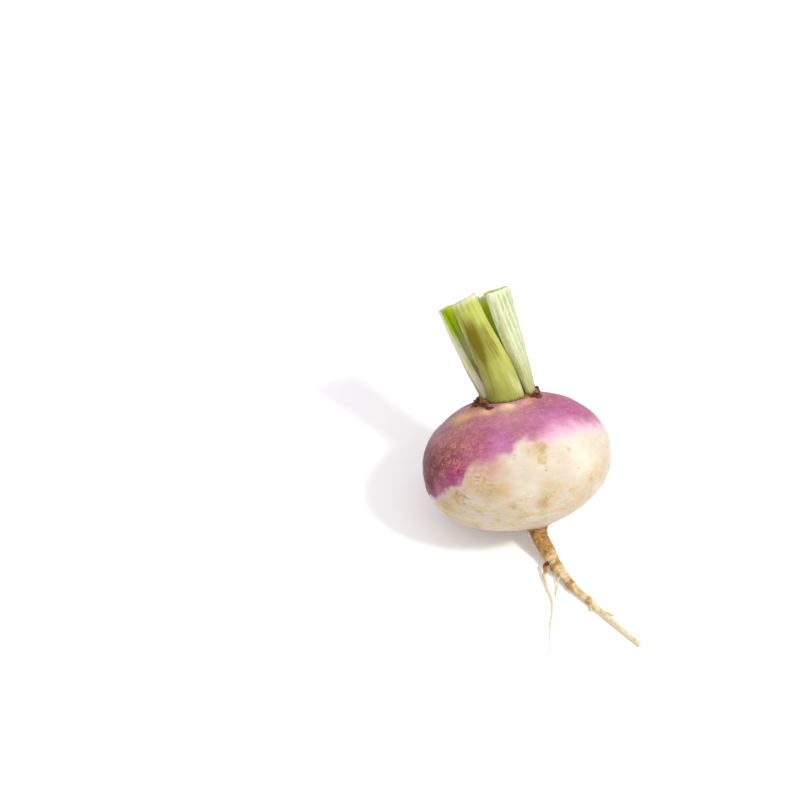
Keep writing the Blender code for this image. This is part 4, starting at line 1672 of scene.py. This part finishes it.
    def roughen(
        self, rows: np.ndarray, fields: dict[str, np.ndarray], lean: np.ndarray
    ) -> tuple[np.ndarray, dict[str, np.ndarray]]:
        """Wavers the sides, tears the cut edge a little, and lays the cut face inside it.

        Args:
            rows: the plain rings, in mm of the bulb's frame.
            fields: what the material reads at each point.
            lean: the way that the bundle runs.

        Returns:
            The rings with those of the cut face, and the values for all of them.
        """
        middles = rows.mean(axis=1, keepdims=True)
        outwards = unit(rows - middles)
        drawn = np.stack([fields["across"] * 4, fields["along"] * 6, fields["inner"] * 2], axis=-1)
        waver = rough(drawn.reshape(-1, 3), 1.0, 3, self.seed).reshape(rows.shape[:2])
        rows = rows + outwards * (self.waver * waver)[..., None]
        torn = rough(rows[-1], 0.8, 3, self.seed + 50)
        torn_part = smooth(fields["along"][:, :1], 0.93, 1.0) * self.tear * torn
        slanted = smooth(fields["along"][:, :1], 0.8, 1.0) * self.slant * fields["across"]
        rows = rows + (torn_part + slanted)[..., None] * lean
        edge, middle = rows[-1], rows[-1].mean(axis=0)
        caps = []
        for inset, depth in self.face:
            ring = middle + (edge - middle) * inset
            pits = rough(ring, 0.5, 2, self.seed + 80)
            caps.append(ring + lean * (depth + 0.08 * pits)[:, None])
        rows = np.concatenate([rows, caps])
        for name, values in fields.items():
            extra = np.repeat(values[-1:], len(caps), axis=0)
            if name == "cut":
                extra = np.ones_like(extra)
            fields[name] = np.concatenate([values, extra])
        return rows, fields

    def build(self, bulb: Bulb) -> bpy.types.Object:
        """Builds and dresses the stalk, with the strands in its cut face and the torn fibres along its rim.

        Args:
            bulb: the bulb that it stands on.

        Returns:
            The stalk.
        """
        rows, fields = self.rings(bulb)
        row = bulb.axis.to_row(rows)
        mesh = closed_mesh(self.node, [row])
        paint(mesh, **{name: ring_values(values) for name, values in fields.items()})
        piece = hand_over(new_piece("cut_" + self.node, mesh, self.finish.make()), self.node)
        lean = unit(np.array(self.bundle)) @ bulb.axis.turn().T
        for detail in self.details:
            detail.set_round(self.node, row[self.steps :], lean, self.seed)
        return piece


@dataclass
class Bundle:
    """The seven leaf stalks that stand on the crown."""

    bulb: Bulb
    front: StalkFinish = StalkFinish(
        "front_stalk_green",
        back=tint(192, 196, 94),
        furrow=tint(178, 184, 76),
        rib=tint(214, 218, 138),
        foot=tint(162, 166, 80),
        # a darker painted shade at the front stalk's foot
        painted_foot_shade=tint(76, 46, 26),
        margin=tint(222, 222, 166),
        stain=tint(122, 108, 0),
        rust=tint(150, 116, 40),
        rib_share=0.30,
        dash_share=0.0,
    )
    right: StalkFinish = StalkFinish(
        "right_stalk_green",
        back=tint(202, 208, 158),
        furrow=tint(176, 194, 128),
        rib=tint(228, 228, 200),
        foot=tint(184, 186, 118),
        pith=tint(140, 196, 30),
        rust=tint(160, 154, 88),
        rib_share=0.8,
        rust_share=0.72,
        dash=tint(136, 158, 124),
        dash_share=0.6,
    )
    left: StalkFinish = StalkFinish(
        "left_stalk_green",
        back=tint(232, 226, 192),
        furrow=tint(224, 230, 150),
        rib=tint(244, 240, 222),
        channel=tint(190, 214, 20),
        deep_channel=tint(160, 190, 12),
        margin=tint(255, 248, 226),
        foot=tint(176, 170, 104),
    )
    rear: StalkFinish = StalkFinish(
        "rear_stalk_green",
        back=tint(206, 218, 116),
        channel=tint(206, 234, 40),
        deep_channel=tint(180, 214, 30),
        dash_share=0.3,
    )
    heart: StalkFinish = StalkFinish(
        "heart_stalk_green",
        back=tint(246, 255, 24),
        furrow=tint(216, 232, 14),
        rib=tint(232, 244, 110),
        # a darker foot: painted shade low in the recess between the stalks
        foot=tint(140, 146, 30),
        rib_share=0.25,
    )

    def build(self) -> None:
        """Builds and dresses every stalk."""
        # The front stalk's olive stain, brown flecks and pale fold, and the beige side of the right one
        olive = (
            (-0.05, 0.57, 0.85, 0.28, 0.46), (-0.42, 0.70, 0.24, 0.15, 0.56), (-0.14, 0.60, 0.22, 0.17, 0.62),
            (-0.62, 0.50, 0.10, 0.20, 0.30), (0.06, 0.74, 0.14, 0.12, 0.34), (0.50, 0.56, 0.28, 0.18, 0.36),
            (-0.24, 0.22, 0.08, 0.14, 0.40), (-0.62, 0.04, 0.55, 0.12, 0.46), (-0.22, 0.46, 0.14, 0.12, 0.42),
            (-0.55, 0.26, 0.30, 0.14, 0.20), (-0.84, 0.20, 0.16, 0.18, 0.60),
        )
        brown = (
            (-0.80, 0.52, 0.06, 0.10, 0.9), (-0.70, 0.36, 0.04, 0.10, 0.8), (0.50, 0.46, 0.05, 0.07, 0.6),
            (0.64, 0.54, 0.05, 0.07, 0.7),
        )
        fold = ((0.76, 0.11, 0.20, 0.06, 0.85), (0.56, 0.18, 0.09, 0.08, 0.75))
        beige = ((-0.80, 0.84, 0.09, 0.14, 0.7), (-0.89, 0.58, 0.09, 0.20, 1.1), (-0.89, 0.30, 0.12, 0.16, 1.0))
        stalks = (
            Stalk(
                "stalk_front", self.front, foot_turn=-9, cut_turn=-15, foot_out=8.1, cut_out=11.8,
                foot_width=17.2, middle_width=13.2, cut_width=11.0, foot_thick=5.2, cut_thick=5.4,
                channel=1.6, reach=1.045, head=0.0, slant=1.1, seed=11, ribs=6, rib_height=0.08, stains=olive,
                rust=brown, pale=fold,
            ),
            Stalk(
                "stalk_right", self.right, foot_turn=94, cut_turn=57.5, foot_out=9.0, cut_out=13.0,
                foot_width=9.6, middle_width=17.0, cut_width=14.0, foot_thick=3.7, cut_thick=4.8, channel=1.6,
                reach=1.012, head=0.0, slant=-0.5, seed=12, ribs=7, rib_height=0.08, rust=beige,
            ),
            Stalk(
                "stalk_left", self.left, foot_turn=-98, cut_turn=-108, foot_out=8.4, cut_out=13.9,
                foot_width=7.6, middle_width=9.8, cut_width=10.6, foot_thick=4.8, cut_thick=4.4, channel=1.5,
                reach=0.966, head=1.4, slant=0.0, seed=13, inner_start=-0.34,
            ),
            Stalk(
                "stalk_rear_left", self.rear, foot_turn=-155, cut_turn=-161, foot_out=8.4, cut_out=12.2,
                foot_width=7.8, middle_width=8.6, cut_width=9.4, foot_thick=5.0, cut_thick=5.0, channel=1.6,
                reach=0.940, head=0.3, slant=0.0, seed=14,
            ),
            Stalk(
                "stalk_rear_right", self.rear, foot_turn=153, cut_turn=148, foot_out=8.4, cut_out=12.4,
                foot_width=7.2, middle_width=6.4, cut_width=8.4, foot_thick=5.0, cut_thick=5.2, channel=1.6,
                reach=0.960, head=0.3, slant=0.0, seed=15,
            ),
            Stalk(
                "stalk_heart_front", self.heart, foot_turn=30, cut_turn=58, foot_out=2.4, cut_out=3.6,
                foot_width=4.6, middle_width=5.2, cut_width=5.6, foot_thick=3.0, cut_thick=3.4, channel=0.8,
                reach=0.975, head=0.5, slant=0.0, seed=16, ribs=3, rib_height=0.12,
            ),
            Stalk(
                "stalk_heart_rear", self.heart, foot_turn=210, cut_turn=230, foot_out=2.6, cut_out=3.6,
                foot_width=4.8, middle_width=5.2, cut_width=5.6, foot_thick=3.0, cut_thick=3.4, channel=0.8,
                reach=0.920, head=0.5, slant=0.0, seed=17, ribs=3, rib_height=0.12,
            ),
        )
        for stalk in stalks:
            piece = stalk.build(self.bulb)
            LOG.info("%s: %d faces", piece.name, len(piece.data.polygons))


@dataclass
class Litter:
    """What is small and many: root hairs, corky dots on the skin, and dry leaf stubs round the crown."""

    bulb: Bulb
    hair_density: float = 90000.0
    lenticel_density: float = 26000.0
    clearance: float = 0.00005
    scar_count: int = 26
    # The stubs go round the crown from its right to its left, past the rear
    scar_start: float = math.radians(104)
    scar_end: float = math.radians(286)

    def lift(self, piece: bpy.types.Object, count: int) -> bpy.types.Object:
        """Lifts each copy in a piece that would go through the table, and gives the piece back.

        Args:
            piece: the object that holds every copy.
            count: how many points one copy has.

        Returns:
            The same object.
        """
        places = np.empty(len(piece.data.vertices) * 3)
        piece.data.vertices.foreach_get("co", places)
        copies = places.reshape(-1, count, 3)
        copies[..., 2] += np.maximum(self.clearance - copies[..., 2].min(axis=1, keepdims=True), 0.0)
        piece.data.vertices.foreach_set("co", copies.ravel())
        return piece

    def root_hairs(self, root: bpy.types.Object, material: bpy.types.Material) -> bpy.types.Object:
        """Fine hairs that stand off the tap root.

        Args:
            root: the tap root.
            material: the hairs' material.

        Returns:
            The piece that holds them all.
        """
        bend = [(0.0, 0.00007, 0.00007, 0.0), (0.4, 0.00006, 0.00006, 0.0003), (0.75, 0.00005, 0.00005, 0.0010)]
        shape = loft("root_hair", 0.0016, [*bend, (1.0, 0.00003, 0.00003, 0.0018)], 5)
        strewing = Strewing("root_hairs", Ground.SURFACE, 5, self.hair_density, 0.3, 1.3, 0.7)
        return self.lift(strewing.run(root.data, shape, material), len(shape.vertices))

    def lenticels(self, skin: bpy.types.Object, material: bpy.types.Material) -> bpy.types.Object:
        """Low corky dots in the skin.

        Args:
            skin: the bulb.
            material: the dots' material.

        Returns:
            The piece that holds them all.
        """
        shape = loft(
            "lenticel",
            0.00010,
            [(-1.0, 0.00026, 0.00012, 0.0), (0.2, 0.00024, 0.00011, 0.0), (0.8, 0.00014, 0.00006, 0.0)],
        )
        strewing = Strewing("lenticels", Ground.SURFACE, 9, self.lenticel_density, 0.4, 1.3, 0.1)
        return self.lift(strewing.run(skin.data, shape, material), len(shape.vertices))

    def leaf_scars(self, material: bpy.types.Material) -> bpy.types.Object:
        """The dry stubs of old leaves in the groove round the stalks.

        Args:
            material: the stubs' material.

        Returns:
            The piece that holds them all.
        """
        bulb = self.bulb
        order = np.arange(self.scar_count)
        uneven = order + 0.5 * np.sin(order * 2.7)
        turns = self.scar_start + (self.scar_end - self.scar_start) * uneven / self.scar_count
        radii = bulb.disc_radius + 0.0007 + 0.0012 * np.abs(np.sin(order * 1.9))
        points = bulb.axis.to_row(bulb.crown(turns, radii))
        up = bulb.axis.turn()[:, 2]
        out = np.stack([np.cos(turns), np.sin(turns), 0 * turns], axis=-1) @ bulb.axis.turn().T
        ground = bpy.data.meshes.new("scar_ground")
        ground.from_pydata(points.tolist(), [], [])
        paint(ground, facing=unit(up + 0.9 * out), heading=np.cross(up, out))
        broad = [(-0.7, 0.0014, 0.0004, 0.0), (0.1, 0.0013, 0.0004, 0.0), (0.6, 0.0009, 0.0003, 0.0001)]
        shape = loft("leaf_scar", 0.0007, [*broad, (1.0, 0.0003, 0.0001, 0.0002)], 10)
        return Strewing("leaf_scars", Ground.POINTS, 3, 0.0, 0.45, 1.1, 0.35).run(ground, shape, material)

    def build(self, skin: bpy.types.Object, root: bpy.types.Object) -> None:
        """Strews all three and reports them.

        Args:
            skin: the bulb.
            root: the tap root.
        """
        hair = PlainFinish("root_hair", tint(236, 222, 192), tint(200, 170, 124)).make()
        dot = PlainFinish("lenticel", tint(214, 176, 128), tint(232, 206, 168)).make()
        stub = PlainFinish("leaf_scar", tint(136, 84, 54), tint(84, 36, 40), 420.0).make()
        for piece in (self.root_hairs(root, hair), self.lenticels(skin, dot), self.leaf_scars(stub)):
            hand_over(piece)
            LOG.info("%s: %d faces", piece.name, len(piece.data.polygons))


# The picture


@dataclass(frozen=True)
class Lamp:
    """A square soft light."""

    name: str
    place: tuple[float, float, float]
    size: float
    power: float

    def hang(self, aim: tuple[float, float, float]) -> None:
        """Hangs the lamp.

        Args:
            aim: the point that it faces.
        """
        data = bpy.data.lights.new(self.name, "AREA")
        data.shape = "SQUARE"
        data.size = self.size
        data.energy = self.power
        lamp = bpy.data.objects.new(self.name, data)
        lamp.location = self.place
        lamp.rotation_euler = (Vector(aim) - Vector(self.place)).to_track_quat("-Z", "Y").to_euler()
        bpy.context.scene.collection.objects.link(lamp)


@dataclass
class Studio:
    """The white table, the soft lights and the camera."""

    lamps: tuple[Lamp, ...] = (
        Lamp("key", (0.62, -0.48, 0.95), 0.18, 9.4),
        Lamp("overhead", (0.0, -0.4, 1.3), 1.2, 5.2),
    )
    aim: tuple[float, float, float] = (0.0, 0.0, 0.03)
    camera_place: tuple[float, float, float] = (-0.04469, -0.69955, 0.68485)
    camera_drop: float = math.radians(42)
    lens: float = 101.86
    floor_size: float = 6.0
    world_strength: float = 0.70
    # A little light of the table's own, as from a lit white table, keeps its shadows pale
    floor_glow: float = 0.10

    def floor(self) -> None:
        """A wide white table top."""
        box = Paintbox("white_table", 0.1)
        half = self.floor_size / 2
        corners = [(-half, -half, 0.0), (half, -half, 0.0), (half, half, 0.0), (-half, half, 0.0)]
        mesh = bpy.data.meshes.new("table")
        mesh.from_pydata(corners, [], [(0, 1, 2, 3)])
        box.surface.inputs["Base Color"].default_value = (0.92, 0.91, 0.93, 1.0)
        box.surface.inputs["Emission Color"].default_value = (1.0, 1.0, 1.0, 1.0)
        box.surface.inputs["Emission Strength"].default_value = self.floor_glow
        box.surface.inputs["Roughness"].default_value = 0.9
        new_piece("table", mesh, box.material)

    def build(self) -> None:
        """Sets the whole picture up."""
        self.floor()
        for lamp in self.lamps:
            lamp.hang(self.aim)
        world = bpy.data.worlds.new("white_room")
        world.use_nodes = True
        world.node_tree.nodes["Background"].inputs["Color"].default_value = (1.0, 1.0, 1.0, 1.0)
        world.node_tree.nodes["Background"].inputs["Strength"].default_value = self.world_strength
        scene = bpy.context.scene
        scene.world = world
        scene.view_settings.view_transform = "Standard"
        camera = bpy.data.cameras.new("camera")
        camera.lens = self.lens
        camera.sensor_width = 36.0
        camera.clip_start = 0.01
        holder = bpy.data.objects.new("camera", camera)
        holder.location = self.camera_place
        holder.rotation_euler = (math.pi / 2 - self.camera_drop, 0.0, 0.0)
        scene.collection.objects.link(holder)
        scene.camera = holder


def main() -> None:
    """Builds every piece of the turnip, then the picture round it."""
    logging.basicConfig(level=logging.INFO, format="%(name)s: %(message)s")
    skin = SkinFinish().make()
    thread = PlainFinish("long_root_hair", tint(238, 228, 206), tint(220, 202, 168)).make()
    bulb = Bulb(GrowingAxis())
    body = bulb.build(skin)
    root = TapRoot(bulb).build(skin)
    LOG.info("tap root: %d faces", len(root.data.polygons))
    SideRoots().build(skin, thread)
    Bundle(bulb).build()
    Litter(bulb).build(body, root)
    Studio().build()


if __name__ == "__main__":
    main()
